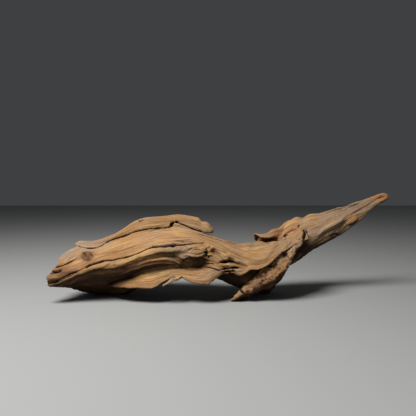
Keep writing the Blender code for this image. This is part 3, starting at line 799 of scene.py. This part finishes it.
class Nodes:
    """Short ways to add and link the nodes of one tree."""

    def __init__(self, tree):
        self.tree = tree

    def add(self, kind, inputs=None, **settings):
        """A new node with its settings. Each input is a value, or a socket that is linked to it."""
        node = self.tree.nodes.new(kind)
        for key, value in settings.items():
            setattr(node, key, value)
        self.feed(node, inputs or {})
        return node

    def feed(self, node, inputs):
        """Links sockets to the inputs of a node and sets its other inputs to plain values."""
        for key, value in inputs.items():
            if isinstance(value, bpy.types.NodeSocket):
                self.tree.links.new(value, node.inputs[key])
            else:
                node.inputs[key].default_value = value

    def attribute(self, name, output="Fac"):
        """The value of a named attribute of the mesh."""
        return self.add("ShaderNodeAttribute", attribute_name=name).outputs[output]

    def math(self, operation, first, second):
        """The result of a calculation with two numbers."""
        return self.add("ShaderNodeMath", {0: first, 1: second}, operation=operation).outputs[0]

    def span(self, value, low, high, to_low=0.0, to_high=1.0):
        """A value moved from one range to another and kept inside it."""
        inputs = {"Value": value, "From Min": low, "From Max": high, "To Min": to_low, "To Max": to_high}
        return self.add("ShaderNodeMapRange", inputs).outputs["Result"]

    def mix(self, share, first, second):
        """A mix of two colours. Sockets 6 and 7 take the colours, and socket 2 gives the mixed one."""
        return self.add("ShaderNodeMix", {"Factor": share, 6: first, 7: second}, data_type="RGBA").outputs[2]


def carrying_nodes(source):
    """A geometry node tree that reads the attribute grain off the nearest point of another object's skin."""
    tree = bpy.data.node_groups.new("Carry the grain", "GeometryNodeTree")
    for way in ("INPUT", "OUTPUT"):
        tree.interface.new_socket("Geometry", in_out=way, socket_type="NodeSocketGeometry")
    nodes = Nodes(tree)
    enter = nodes.add("NodeGroupInput")
    other = nodes.add("GeometryNodeObjectInfo", {"Object": source})
    named = nodes.add("GeometryNodeInputNamedAttribute", {"Name": "grain"}, data_type="FLOAT_VECTOR")
    nearest = nodes.add("GeometryNodeSampleNearestSurface", {
        "Mesh": other.outputs["Geometry"], "Value": named.outputs["Attribute"]}, data_type="FLOAT_VECTOR")
    keep = nodes.add("GeometryNodeStoreNamedAttribute", {
        "Geometry": enter.outputs[0], "Name": "grain", "Value": nearest.outputs["Value"]},
        data_type="FLOAT_VECTOR")
    nodes.add("NodeGroupOutput", {0: keep.outputs["Geometry"]})
    return tree


def largest_part(mesh):
    """Leaves a mesh only its largest joined part, so that no small pocket stays closed up inside the wood.

    Each vertex takes the lowest number among its neighbours, until each joined part has one number.
    """
    first, second = read_edges(mesh).T
    number = np.arange(len(mesh.vertices))
    while True:
        lowest = np.minimum(number[first], number[second])
        spread = number.copy()
        np.minimum.at(spread, first, lowest)
        np.minimum.at(spread, second, lowest)
        spread = spread[spread]
        if np.array_equal(spread, number):
            break
        number = spread
    kept = number == np.bincount(number).argmax()
    body = bmesh.new()
    body.from_mesh(mesh)
    bmesh.ops.delete(body, geom=[vertex for vertex in body.verts if not kept[vertex.index]], context="VERTS")
    body.to_mesh(mesh)
    body.free()
    return mesh


def fused_skin(grids, spacing):
    """Fuses the overlapping lobes into one skin on a fine grid and brings their grain coordinates over."""
    source = made_object("lobes_source", lobes_mesh(grids))
    obj = made_object("lobes_fused", source.data.copy())
    fuse = obj.modifiers.new("Fuse", "REMESH")
    fuse.mode = "VOXEL"
    fuse.voxel_size = spacing
    soften = obj.modifiers.new("Soften", "SMOOTH")
    soften.factor = 0.5
    soften.iterations = 2
    carry = obj.modifiers.new("Carry", "NODES")
    carry.node_group = carrying_nodes(source)
    mesh = applied(obj)
    bpy.data.objects.remove(source)
    bpy.data.node_groups.remove(bpy.data.node_groups["Carry the grain"])
    return largest_part(mesh)


def blurred(values, passes):
    """Values on a grid, blurred along each of its first three axes by a 1-2-1 kernel, several times."""
    for _ in range(passes):
        for axis in range(3):
            line = np.pad(np.moveaxis(values, axis, 0), [(1, 1)] + [(0, 0)] * (values.ndim - 1))
            values = np.moveaxis((line[:-2] + 2 * line[1:-1] + line[2:]) / 4, 0, axis)
    return values


def gathered(points, values, cell, margin, passes):
    """Values of the points, added up in the cells of a coarse grid and blurred into the cells around.

    It also gives the low corner of that grid and the number of each point's cell.
    """
    low = points.min(axis=0) - margin
    shape = np.ceil((points.max(axis=0) + margin - low) / cell).astype(int)
    cells = np.ravel_multi_index(((points - low) / cell).astype(int).T, shape)
    sums = np.stack([np.bincount(cells, value, np.prod(shape)) for value in values.T], axis=-1)
    return blurred(sums.reshape(*shape, -1), passes), low, cells


GrainField = namedtuple("GrainField", "low shape directions")


def grain_field(grids):
    """The direction of the grain in each cell of a coarse grid.

    Each lobe's direction is the way from one ring to the next. The directions of the points in a cell are
    added up, blurred into the cells around, and brought to length 1. Then each eye bends them.
    """
    points = np.concatenate([grid.reshape(-1, 3) for grid in grids])
    tangents = np.concatenate([np.gradient(grid, axis=0).reshape(-1, 3) for grid in grids])
    tangents /= np.linalg.norm(tangents, axis=1, keepdims=True) + TINY
    total, low, _ = gathered(points, tangents, FIELD_CELL, FIELD_MARGIN, FIELD_BLUR)
    total = total + np.array([1e-6, 0, 0])
    shape = np.array(total.shape[:3])
    centres = low + FIELD_CELL * (np.stack(np.indices(shape), axis=-1) + 0.5)
    directions = total / np.linalg.norm(total, axis=-1, keepdims=True)
    for eye in EYES:
        directions = bent_round(directions, centres, eye)
    return GrainField(low, shape, directions.reshape(-1, 3).astype(np.float32))


def bent_round(directions, centres, eye):
    """Directions that flow round an eye as water flows round a post, and run in rings inside it.

    With x the distance along the grain from the middle of the eye, y the distance across and R the eye's
    radius, the flow outside is 1 - R^2 (x^2 - y^2) / r^4 along the grain and -2 R^2 x y / r^4 across it.
    """
    facing = np.array(eye.facing, float) / np.linalg.norm(eye.facing)
    offset = centres - np.array(eye.place, float)
    away = offset @ facing
    across = np.cross(facing, directions)
    across /= np.linalg.norm(across, axis=-1, keepdims=True) + TINY
    straight = np.cross(across, facing)
    x, y = (offset * straight).sum(-1)[..., None], (offset * across).sum(-1)[..., None]
    pull = eye.radius**2 / np.maximum(x * x + y * y, eye.radius**2) ** 2
    flow = (1 - pull * (x * x - y * y)) * straight - 2 * pull * x * y * across
    reach = np.sqrt(x * x + y * y) + 1e-6
    rings = (x * across - y * straight) / reach
    rings *= np.where((rings * flow).sum(-1, keepdims=True) < 0, -1, 1)
    inside = 1 - ease(0.75 * eye.radius, eye.radius, reach)
    new = inside * rings + (1 - inside) * flow
    near = np.exp(-((away / EYE_DEPTH) ** 2))[..., None] * (reach < EYE_REACH * eye.radius)
    mixed = near * new + (1 - near) * directions
    return mixed / (np.linalg.norm(mixed, axis=-1, keepdims=True) + TINY)


def directions_at(field, points):
    """The grain's direction at each point, from the cell that the point is in."""
    cells = np.clip(((points - field.low) / FIELD_CELL).astype(int), 0, field.shape - 1)
    return field.directions[(cells[:, 0] * field.shape[1] + cells[:, 1]) * field.shape[2] + cells[:, 2]]


def noise_table(seed):
    """Random values for one kind of noise, with mean 0 and spread 1."""
    return np.random.default_rng(seed).standard_normal(NOISE_TABLE**3).astype(np.float32)


def noise(points, table):
    """Plain smooth noise: random values on a cubic lattice of unit cells, eased between a cell's corners."""
    floor = np.floor(points)
    part = (points - floor).astype(np.float32)
    part = part * part * (3 - 2 * part)
    near = floor.astype(np.int64) % NOISE_TABLE
    far = (near + 1) % NOISE_TABLE
    total = np.zeros(len(points), dtype=np.float32)
    for corner in itertools.product((0, 1), repeat=3):
        x, y, z = ((far if side else near)[:, axis] for axis, side in enumerate(corner))
        shares = [part[:, axis] if side else 1 - part[:, axis] for axis, side in enumerate(corner)]
        total += np.prod(shares, axis=0) * table[(x * NOISE_TABLE + y) * NOISE_TABLE + z]
    return total


def plain_noise(points, size, seed, use):
    """Plain noise with lumps of a given size in millimetres, for one use of it."""
    return noise(points / np.array(size), noise_table(seed + SEEDS[use]))


def fibre_noise(points, field, seed):
    """Noise averaged along the grain, one array for each layer of fibres, with mean 0 and spread 1.

    Each point is followed both ways along the field in short steps. The plain noise met on the way is added
    up with a weight that falls from 1 to 0 as half a cosine wave over the layer's reach.
    """
    tables = {name: noise_table(seed + index) for index, name in enumerate(FIBRE_LAYERS)}
    totals = {name: noise(points / layer.width, tables[name]) for name, layer in FIBRE_LAYERS.items()}
    furthest = max(layer.reach for layer in FIBRE_LAYERS.values())
    for way in (1.0, -1.0):
        here = points.copy()
        for count in range(1, int(furthest / FIBRE_STEP) + 1):
            here += way * FIBRE_STEP * directions_at(field, here)
            for name, layer in FIBRE_LAYERS.items():
                share = count * FIBRE_STEP / layer.reach
                if share < 1:
                    weight = 0.5 + 0.5 * np.cos(np.pi * share)
                    totals[name] += weight * noise(here / layer.width, tables[name])
    return {name: (total - total.mean()) / total.std() for name, total in totals.items()}


def seen_from(points, normals, view):
    """How far each vertex shows in a view: 1 where it faces the view and nothing lies in front of it."""
    first, second, deep, side = VIEWS[view]
    flat = points[:, [first, second]]
    cells = ((flat - flat.min(axis=0)) / SIGHT_CELL).astype(int)
    nearest = np.full(cells.max(axis=0) + 1, -np.inf)
    towards = side * points[:, deep]
    np.maximum.at(nearest, tuple(cells.T), towards)
    behind = nearest[tuple(cells.T)] - towards
    hidden = ease(0.8 * SIGHT_DEPTH, 1.2 * SIGHT_DEPTH, behind)
    return ease(-0.15, 0.2, side * normals[:, deep]) * (1 - hidden)


def line_distance(flat, line):
    """For each point: its distance to a smooth line through the given points, and where along it that is."""
    line = spline(line, 6 * len(line), closed=False)
    start, step = line[:-1], np.diff(line, axis=0)
    offset = flat[:, None, :] - start[None]
    share = np.clip((offset * step).sum(-1) / ((step * step).sum(-1) + TINY), 0, 1)
    gap = np.linalg.norm(offset - share[..., None] * step, axis=-1)
    best = gap.argmin(axis=1)
    row = np.arange(len(flat))
    return gap[row, best], (best + share[row, best]) / len(step)


def apply_marks(points, normals, marks, wander):
    """How far the marks raise each vertex, in millimetres, how dark they make it and how split it is.

    Across a mark the height is (1 - (distance / half width)^2) to the power of the kind's shape. Along it
    the width and the height run out towards both ends. Wander, in millimetres, makes the lines uneven. The
    dark is partly stains and partly painted shade in the grooves, and the split paints the shadow of a crack.
    """
    cut, raised, stain, split = np.zeros((4, len(points)))
    shown = {view: seen_from(points, normals, view) for view in {view for view, _ in marks}}
    for (view, kind_name), group in marks.items():
        kind = KINDS[kind_name]
        moved = cut if kind.side < 0 else raised
        flat = points[:, list(VIEWS[view][:2])]
        for half, deep, text in group.values():
            line = points_of(text)
            room = 1.4 * half + 2.0
            inside = ((flat > line.min(axis=0) - room) & (flat < line.max(axis=0) + room)).all(axis=1)
            near = np.flatnonzero(inside & (shown[view] > 0))
            if not len(near):
                continue
            gap, where = line_distance(flat[near], line)
            gap = np.maximum(gap + wander[near] * min(1.0, half / 3), 0)
            run_out = 0.1 + 0.9 * ease(0, kind.taper, where) * ease(0, kind.taper, 1 - where)
            profile = np.clip(1 - (gap / (half * np.sqrt(run_out))) ** 2, 0, 1) ** kind.shape
            strength = profile * shown[view][near]
            moved[near] = np.maximum(moved[near], deep * strength * run_out)
            stain[near] = np.maximum(stain[near], kind.stain * strength)
            split[near] = np.maximum(split[near], kind.split * ease(0.1, 0.6, strength))
    return raised - cut, stain, split


def grain_relief(fibres, roughness, splits):
    """How far the grain raises each vertex, in millimetres, and how deep in a cleft of the grain it is.

    Broad bands swell and sink, cords stand between narrow furrows where their noise passes zero, and long
    clefts open where the noise of the clefts passes zero inside some patches of the wood that splits.
    """
    furrow = np.exp(-((fibres["cord"] / FURROW_EDGE) ** 2)) * ease(-0.9, 0.9, fibres["patch"])
    cleft = np.exp(-((fibres["cleft"] / CLEFT_EDGE) ** 2))
    cleft = cleft * ease(0.7, 1.4, fibres["patch"] + 0.4 * fibres["band"]) * splits
    rise = RISE["band"] * fibres["band"] + RISE["cord"] * np.abs(fibres["cord"])
    rise = rise + RISE["furrow"] * furrow + RISE["fine"] * fibres["fine"]
    return roughness * rise + RISE["cleft"] * cleft * np.minimum(roughness, 1), furrow, cleft


def crumble_relief(points, rough, seed):
    """Crumbled wood, in millimetres: two plain noises that do not follow the grain, cut off at the top."""
    return rough * sum(
        height * np.minimum(plain_noise(points, size, seed, use), top)
        for use, (size, height, top) in CRUMBLE_NOISE.items()
    )


def hollowness(points, normals, cell, passes):
    """How far the skin sinks below its own surroundings, in millimetres: more than 0 in a hollow.

    The places of the points in each cell of a coarse grid are averaged, blurred into the cells around, and
    the way from each point to that average is measured along its normal.
    """
    values = np.column_stack([np.ones(len(points)), points])
    total, _, cells = gathered(points, values, cell, 2 * cell, passes)
    total = total.reshape(-1, 4)[cells]
    return ((total[:, 1:] / total[:, :1] - points) * normals).sum(axis=1)


def end_relief(points, normals, directions, seed):
    """Rough ends: where the skin cuts across the grain, thin layers of fibres end at uneven lengths."""
    cut = np.abs((normals * directions).sum(axis=1))
    return RISE["end"] * ease(0.55, 0.95, cut) * plain_noise(points, (30.0, 12.0, 3.6), seed, "ends")


def rough_by_place(points, normals, lobe, seed):
    """How strong the grain's relief and the crumbled wood are at each vertex.

    The grain is stronger below, behind and on the horn, and softer in the valley. The leg and the wall above
    it are crumbled, and less so the broken left end, the undersides, the knot's nose and the wood round the
    pit.
    """
    x, z = points[:, 0], points[:, 2]
    below = ease(0.0, 0.8, -normals[:, 2])
    behind = ease(0.0, 0.6, normals[:, 1])
    valley = band(-10, 30, 110, 150, x) * (1 - behind)
    grain = 0.62 + 0.7 * below + 0.4 * behind + 0.35 * ease(180, 230, x) - 0.25 * valley
    grain *= 1 + 0.3 * plain_noise(points, 40.0, seed, "rough")
    on_leg = (lobe == LOBES.index(leg)) * 1.0
    wall = ease(104, 114, x) * (1 - ease(96, 104, z - 0.5 * (x - 140)))
    wall *= (1 - behind) * (1 - ease(148, 156, x)) * ease(110, 124, x + 0.4 * (70 - z))
    left_end = 1 - ease(-258, -236, x)
    nose = (lobe == LOBES.index(knot)) * ease(-34, -20, x)
    pit = np.exp(-((np.linalg.norm(points - PIT.place, axis=1) / PIT_REACH) ** 2))
    shares = (np.maximum(on_leg, 0.8 * wall), left_end, below, nose, pit, 1)
    crumble = sum(amount * share for amount, share in zip(CRUMBLED.values(), shares))
    return grain * (1 - 0.6 * on_leg), np.clip(crumble, 0, 2)


def colours_by_place(points, normals, fibres, seed):
    """Masks from 0 to 1 for the finish of the wood, worked out from each vertex's place and way of facing.

    Grey is weathering, strongest at the left end, in the valley and on the horn. Under is painted shade: it
    is high where a vertex faces away from the key lamp, down, to the right and to the back, and stands for
    the shadow there, with some of the browner unbleached wood of the undersides. Blush is the reddish wood
    round the pit and at the left end. Gold is the yellower wood of the trunk and the flap. Rust is the orange
    wood of fresh breaks. The mask stain is the dark of the cracks and grooves, stains and painted shade
    together, which is added later. Each mask is a level that follows X or the way of facing, plus plain
    noise, fibres and patches; some patches paint shade into under, stain, blush and rust.
    """
    x, z = points[:, 0], points[:, 2]
    drift = plain_noise(points, (60.0, 30.0, 22.0), seed, "drift")
    spots = plain_noise(points, (16.0, 9.0, 8.0), seed, "spots")
    grey = np.interp(x, list(GREY_ALONG), list(GREY_ALONG.values()))
    grey = np.clip(grey + 0.15 * drift + 0.16 * spots + 0.14 * fibres["patch"] + 0.1 * fibres["tint"], 0, 1)
    # How far each vertex faces the lamp above, in front and to the left; under paints shade where it turns
    # away.
    lit = normals[:, 2] + 0.25 * np.maximum(-normals[:, 1], 0) - 0.25 * np.maximum(normals[:, 0], 0)
    low_left = band(38, 48, 62, 74, z) * band(-230, -180, -150, -60, x)
    gold = np.interp(x, list(GOLD_ALONG), list(GOLD_ALONG.values()))
    masks = {
        "grey": grey,
        "under": 1 - ease(-0.75, 0.0, lit),
        "blush": 0.35 * low_left * ease(-0.4, 0.8, fibres["patch"]),
        "gold": gold + 0.25 * drift - 0.3 * spots + 0.15 * fibres["band"],
        "rust": 0.3 * ease(0.3, 1.4, spots + 0.5 * fibres["patch"]) * ease(-60, 60, x),
        "stain": 0 * x,
    }
    for place, reach, amounts in PATCHES:
        near = np.exp(-(((points - place) / reach) ** 2).sum(axis=1))
        for name, amount in amounts.items():
            masks[name] = masks[name] + amount * near * (1 + 0.3 * spots)
    return masks


def smoothed(values, edges, passes):
    """Values averaged with those of the neighbouring vertices, several times."""
    count = len(values)
    ends, others = np.concatenate([edges, edges[:, ::-1]]).T
    degree = np.bincount(ends, minlength=count)[:, None]
    for _ in range(passes):
        total = np.stack([np.bincount(ends, column[others], count) for column in values.T], axis=-1)
        values = 0.5 * values + 0.5 * total / degree
    return values


def on_table(points):
    """Points with none of them below the table."""
    return np.column_stack([points[:, :2], np.maximum(points[:, 2], 0.0)])


def wood_mesh(shape):
    """The finished skin of the wood, in metres, with the attributes that its material reads."""
    grids = [lobe() for lobe in LOBES]
    mesh = fused_skin(grids, shape.skin_spacing / MM)
    points, edges = read(mesh.vertices, "co"), read_edges(mesh)
    lobe = np.floor(read(mesh.attributes["grain"].data, "vector")[:, 0] / LOBE_GAP)
    field = grain_field(grids)
    fibres = fibre_noise(points, field, shape.seed)
    wander = 0.6 * plain_noise(points, 7.0, shape.seed, "wander")

    normals = smoothed(read(mesh.vertex_normals, "vector"), edges, 3)
    normals /= np.linalg.norm(normals, axis=1, keepdims=True)
    large_rise, large_stain_and_shade, large_split = apply_marks(points, normals, LARGE_MARKS, wander)
    points = smoothed(points + large_rise[:, None] * normals, edges, 1)
    move(mesh, points)

    normals = read(mesh.vertex_normals, "vector")
    small_rise, small_stain_and_shade, small_split = apply_marks(points, normals, SMALL_MARKS, wander)
    unsplit = [LOBES.index(flap), LOBES.index(plank)]
    rough, crumble = rough_by_place(points, normals, lobe, shape.seed)
    grain_rise, furrow, cleft = grain_relief(fibres, shape.grain_strength * rough, ~np.isin(lobe, unsplit))
    crumbled = crumble_relief(points, crumble, shape.seed)
    rise = small_rise + grain_rise + crumbled
    rise += end_relief(points, normals, directions_at(field, points), shape.seed)
    points = on_table(points + rise[:, None] * normals)
    # How hollow the skin is; the material darkens the hollows as painted shade, with some dirt.
    hollow = sum(ease(start, full, hollowness(points, normals, cell, passes))
                 for cell, passes, start, full in HOLLOWS)
    move(mesh, (points - ORIGIN) * MM)

    # Dark of the marks, the fibres' furrows and clefts and the crumbs' pits: stains and painted shade.
    stain = np.maximum(large_stain_and_shade, small_stain_and_shade) + 0.2 * furrow + 0.5 * cleft
    stain = stain + 0.7 * ease(0.3, 2.0, -crumbled)
    masks = colours_by_place(points, normals, fibres, shape.seed) | {
        # The painted shadow of the cracks.
        "split": np.maximum(np.maximum(large_split, small_split), 0.85 * cleft),
        # Painted shade in the hollows, with some dirt.
        "hollow": 0.5 * hollow,
        "streak": 0.5 + 0.22 * fibres["tint"] + 0.12 * fibres["band"],
        "vein": 0.5 + 0.25 * fibres["fine"],
    }
    masks["stain"] = masks["stain"] + stain
    for name, values in masks.items():
        store(mesh, name, np.clip(values, 0, 1))
    return mesh


def thinned(mesh, triangles):
    """A mesh with at most that many triangles: it is thinned where it is flat."""
    now = len(mesh.loops) - 2 * len(mesh.polygons)
    obj = made_object("thinning", mesh)
    thin = obj.modifiers.new("Thin", "DECIMATE")
    thin.ratio = min(1.0, triangles / now)
    thin.use_collapse_triangulate = True
    mesh = applied(obj)
    move(mesh, on_table(read(mesh.vertices, "co")))
    return mesh


def fine_grain_group():
    """Thin long lines along the grain, as a mask from 0 to 1.

    It is noise on the grain coordinates, after they are divided by the lines' length along the grain and by
    their width across it.
    """
    group = bpy.data.node_groups.new("Fine grain", "ShaderNodeTree")
    group.interface.new_socket("Grain", in_out="INPUT", socket_type="NodeSocketVector")
    for label, value in (("Width", 1.0), ("Length", 30.0), ("Detail", 2.0)):
        group.interface.new_socket(label, in_out="INPUT", socket_type="NodeSocketFloat").default_value = value
    group.interface.new_socket("Lines", in_out="OUTPUT", socket_type="NodeSocketFloat")
    nodes = Nodes(group)
    enter = nodes.add("NodeGroupInput").outputs
    across, along = (nodes.math("DIVIDE", 1.0, enter[label]) for label in ("Width", "Length"))
    scale = nodes.add("ShaderNodeCombineXYZ", {"X": along, "Y": across, "Z": across}).outputs[0]
    place = nodes.add("ShaderNodeVectorMath", {0: enter["Grain"], 1: scale}, operation="MULTIPLY").outputs[0]
    lines = nodes.add("ShaderNodeTexNoise", {
        "Vector": place, "Scale": 1.0, "Detail": enter["Detail"], "Roughness": 0.6}).outputs["Fac"]
    nodes.add("NodeGroupOutput", {"Lines": nodes.span(lines, 0.3, 0.7)})
    return group


def wood_material(colours):
    """Dry weathered wood: streaked along the grain, grey in places, with painted shade in its cracks and
    undersides.

    The colour begins as tan and gold by the mask gold, with amber between the streaks. Each layer then covers
    a share of it. Veins and flecks are amber. Grey, rust, blush and under cover by their masks, and grey is
    mottled; under is painted shade on the faces that turn away from the lamp. Thin lines are umber where they
    are low and pale where they are high. The stained marks and the hollows are umber, which is partly stains
    and partly painted shade, and splits are the colour of a crack, a painted shadow. The surface is duller in
    the stains, and the thin lines and the hairs raise it.
    """
    material = bpy.data.materials.new("weathered_wood")
    material.use_nodes = True
    nodes = Nodes(material.node_tree)
    grain = nodes.attribute("grain", "Vector")
    fine_grain = fine_grain_group()
    thin, broad, hair, mottle = (
        nodes.add("ShaderNodeGroup", {"Grain": grain, "Width": width, "Length": length, "Detail": detail},
                  node_tree=fine_grain).outputs["Lines"]
        for width, length, detail in LINES.values()
    )
    gold, streak, vein, grey, rust, blush, under, stain, hollow, split = (nodes.attribute(name) for name in (
        "gold", "streak", "vein", "grey", "rust", "blush", "under", "stain", "hollow", "split"))
    base = nodes.mix(gold, tuple(colours.tan), tuple(colours.gold))
    streaked = nodes.span(nodes.math("ADD", streak, broad), 0.55, 1.25)
    colour = nodes.mix(streaked, tuple(colours.amber), base)
    pale = nodes.math("MULTIPLY", nodes.span(thin, 0.6, 1.0, 0.0, 0.4), nodes.span(under, 0.0, 0.5, 1.0, 0.0))
    layers = (
        (nodes.span(vein, 0.2, 0.5, 0.4, 0.0), colours.amber),
        (nodes.span(mottle, 0.1, 0.45, 0.45, 0.0), colours.amber),
        (nodes.math("MULTIPLY", grey, nodes.span(mottle, 0.2, 0.9, 0.5, 1.6)), colours.grey),
        (rust, colours.rust),
        (blush, colours.blush),
        # Painted shade on the faces that turn away from the lamp.
        (under, colours.under),
        (nodes.span(thin, 0.0, 0.5, 0.5, 0.0), colours.umber),
        (pale, colours.pale),
        # Stains, and painted shade in the grooves and hollows.
        (nodes.math("MULTIPLY", nodes.math("MAXIMUM", stain, hollow), 0.85), colours.umber),
        # The painted shadow of the cracks.
        (split, colours.crack),
    )
    for share, over in layers:
        colour = nodes.mix(share, colour, tuple(over))
    height = nodes.math("ADD", nodes.math("MULTIPLY", thin, 0.6), nodes.math("MULTIPLY", hair, 0.4))
    bump = nodes.add("ShaderNodeBump", {"Strength": BUMP_STRENGTH, "Distance": BUMP_HEIGHT, "Height": height})
    nodes.feed(nodes.tree.nodes["Principled BSDF"], {
        "Base Color": colour,
        "Roughness": nodes.span(nodes.math("ADD", thin, stain), 0.0, 1.6, 0.55, 0.92),
        "Specular IOR Level": SHINE,
        "Normal": bump.outputs["Normal"],
    })
    return material


def plain_material(name, colour, roughness):
    """One even colour with a dull surface."""
    material = bpy.data.materials.new(name)
    material.use_nodes = True
    nodes = Nodes(material.node_tree)
    nodes.feed(nodes.tree.nodes["Principled BSDF"], {"Base Color": tuple(colour), "Roughness": roughness})
    return material


def number_property(name, description, default, **limits):
    """A number setting with its default."""
    return bpy.props.FloatProperty(name=name, description=description, default=default, **limits)


def place_property(name, description, default):
    """A place setting, in metres, with its default."""
    return bpy.props.FloatVectorProperty(
        name=name, description=description, subtype="TRANSLATION", default=default
    )


def colour_property(name, description, default):
    """A colour setting with its default."""
    return bpy.props.FloatVectorProperty(
        name=name, description=description, subtype="COLOR", size=4, min=0.0, max=1.0, default=default
    )


class DriftwoodShape(bpy.types.PropertyGroup):
    """Sizes that a user would change on the wood."""

    skin_spacing: number_property("Skin spacing", "Spacing of the fine skin before it is thinned",
                                  1.1 * MM, min=0.8 * MM, max=4.0 * MM, unit="LENGTH")
    grain_strength: number_property("Grain strength", "How strongly the grain stands out",
                                    1.0, min=0.0, max=3.0)
    kept_triangles: bpy.props.IntProperty(
        name="Kept triangles", description="Most triangles in the finished skin", default=192000, min=10000
    )
    seed: bpy.props.IntProperty(name="Seed", description="Which run of fibres the wood has", default=11)


class DriftwoodColours(bpy.types.PropertyGroup):
    """Colours of the wood, and of the painted shade in its undersides, grooves and cracks."""

    tan: colour_property("Tan", "The lit weathered wood", (0.575, 0.345, 0.172, 1))
    pale: colour_property("Pale", "The palest lines of the grain", (0.66, 0.44, 0.26, 1))
    gold: colour_property("Gold", "The yellower wood", (0.605, 0.35, 0.125, 1))
    amber: colour_property("Amber", "The warmer streaks", (0.37, 0.185, 0.07, 1))
    grey: colour_property("Grey", "The greyed wood", (0.325, 0.25, 0.195, 1))
    # Rust also paints some shade, at the flap's left end.
    rust: colour_property("Rust", "The orange wood of fresh breaks", (0.56, 0.26, 0.10, 1))
    # Blush also paints shade, at the left end's lower nose and at the flap's left end.
    blush: colour_property("Blush", "The reddish wood at the pit and the end", (0.20, 0.088, 0.042, 1))
    # Under is painted shade: near black, for the shadow on the faces turned away from the lamp, with some of
    # the browner unbleached wood of the undersides.
    under: colour_property("Under", "The unbleached wood of the undersides", (0.035, 0.018, 0.010, 1))
    # Umber also paints the shade in the stained grooves and hollows.
    umber: colour_property("Umber", "Furrows and thin dark lines", (0.12, 0.06, 0.03, 1))
    # Crack is a painted shadow: the near black that stands for the shade deep in the cracks.
    crack: colour_property("Crack", "The inside of the cracks", (0.012, 0.007, 0.004, 1))


class StageSettings(bpy.types.PropertyGroup):
    """The floor, the light and the camera."""

    floor: colour_property("Floor", "The floor's colour", (0.40, 0.40, 0.39, 1))
    sky: colour_property("Surroundings", "The colour of the soft light from all round", (0.55, 0.57, 0.60, 1))
    sky_strength: number_property("Surroundings strength", "How bright the soft light is", 0.09, min=0.0)
    key_power: number_property("Key power", "Power of the large lamp above", 21.0, min=0.0, unit="POWER")
    key_size: number_property("Key size", "Side of the large lamp", 0.55, min=0.05, unit="LENGTH")
    key_place: place_property("Key place", "Where the large lamp hangs", (-0.50, -0.52, 1.15))
    camera_place: place_property("Camera place", "Where the camera stands", (-0.0374, -0.7451, 0.188))
    camera_pitch: number_property("Camera pitch", "How far the camera looks down",
                                  radians(2.6), subtype="ANGLE")
    camera_view: number_property("Camera view", "Angle of view from side to side",
                                 2 * atan(VIEW_HALF / VIEW_FOCUS), subtype="ANGLE")


class DRIFTWOOD_OT_wood(bpy.types.Operator):
    """Builds the driftwood and lets it stand for the plain solid"""

    bl_idname = "driftwood.wood"
    bl_label = "Driftwood"

    def execute(self, context):
        scene = context.scene
        mesh = thinned(wood_mesh(scene.driftwood_shape), scene.driftwood_shape.kept_triangles)
        mesh.name = "driftwood_skin"
        mesh.shade_smooth()
        mesh.materials.clear()
        mesh.materials.append(wood_material(scene.driftwood_colours))
        piece = made_object("driftwood_skin", mesh)
        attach(piece, "root")
        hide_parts("driftwood")
        return {"FINISHED"}


class DRIFTWOOD_OT_stage(bpy.types.Operator):
    """Adds a plain pale floor, soft studio light and the camera"""

    bl_idname = "driftwood.stage"
    bl_label = "Stage"

    def execute(self, context):
        scene = context.scene
        stage = scene.driftwood_stage
        mesh = bpy.data.meshes.new("floor")
        corners = [(x * FLOOR_HALF, y * FLOOR_HALF, 0) for x, y in ((-1, -1), (1, -1), (1, 1), (-1, 1))]
        mesh.from_pydata(corners, [], [(0, 1, 2, 3)])
        mesh.materials.append(plain_material("floor", stage.floor, FLOOR_ROUGHNESS))
        made_object("floor", mesh)

        world = bpy.data.worlds.new("surroundings")
        world.use_nodes = True
        Nodes(world.node_tree).feed(world.node_tree.nodes["Background"], {
            "Color": tuple(stage.sky), "Strength": stage.sky_strength})
        scene.world = world

        key = bpy.data.lights.new("key", "AREA")
        key.shape = "SQUARE"
        key.size = stage.key_size
        key.energy = stage.key_power
        lamp = made_object("key", key)
        lamp.location = stage.key_place
        lamp.rotation_euler = (Vector(LAMP_TARGET) - lamp.location).to_track_quat("-Z", "Y").to_euler()

        camera = bpy.data.cameras.new("camera")
        camera.sensor_width = SENSOR_WIDTH
        camera.angle = stage.camera_view
        eye = made_object("camera", camera)
        eye.location = stage.camera_place
        eye.rotation_euler = (radians(90) - stage.camera_pitch, 0, 0)
        scene.camera = eye
        scene.view_settings.view_transform = "Standard"
        return {"FINISHED"}


class DRIFTWOOD_PT_panel(bpy.types.Panel):
    """Sizes, colours and buttons in the 3D view's sidebar"""

    bl_idname = "DRIFTWOOD_PT_panel"
    bl_label = "Driftwood"
    bl_space_type = "VIEW_3D"
    bl_region_type = "UI"
    bl_category = "Driftwood"

    def draw(self, context):
        for name in SETTINGS:
            group = getattr(context.scene, name)
            box = self.layout.box()
            for key in group.bl_rna.properties.keys():
                if key not in ("rna_type", "name"):
                    box.prop(group, key)
        for operator in (DRIFTWOOD_OT_wood, DRIFTWOOD_OT_stage):
            self.layout.operator(operator.bl_idname)


SETTINGS = {
    "driftwood_shape": DriftwoodShape,
    "driftwood_colours": DriftwoodColours,
    "driftwood_stage": StageSettings,
}
CLASSES = (*SETTINGS.values(), DRIFTWOOD_OT_wood, DRIFTWOOD_OT_stage, DRIFTWOOD_PT_panel)


def register():
    for cls in CLASSES:
        bpy.utils.register_class(cls)
    for name, group in SETTINGS.items():
        setattr(bpy.types.Scene, name, bpy.props.PointerProperty(type=group))


def unregister():
    for name in SETTINGS:
        delattr(bpy.types.Scene, name)
    for cls in reversed(CLASSES):
        bpy.utils.unregister_class(cls)


def main():
    """Registers the add-on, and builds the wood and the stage."""
    register()
    bpy.ops.driftwood.wood()
    bpy.ops.driftwood.stage()


if __name__ == "__main__":
    main()
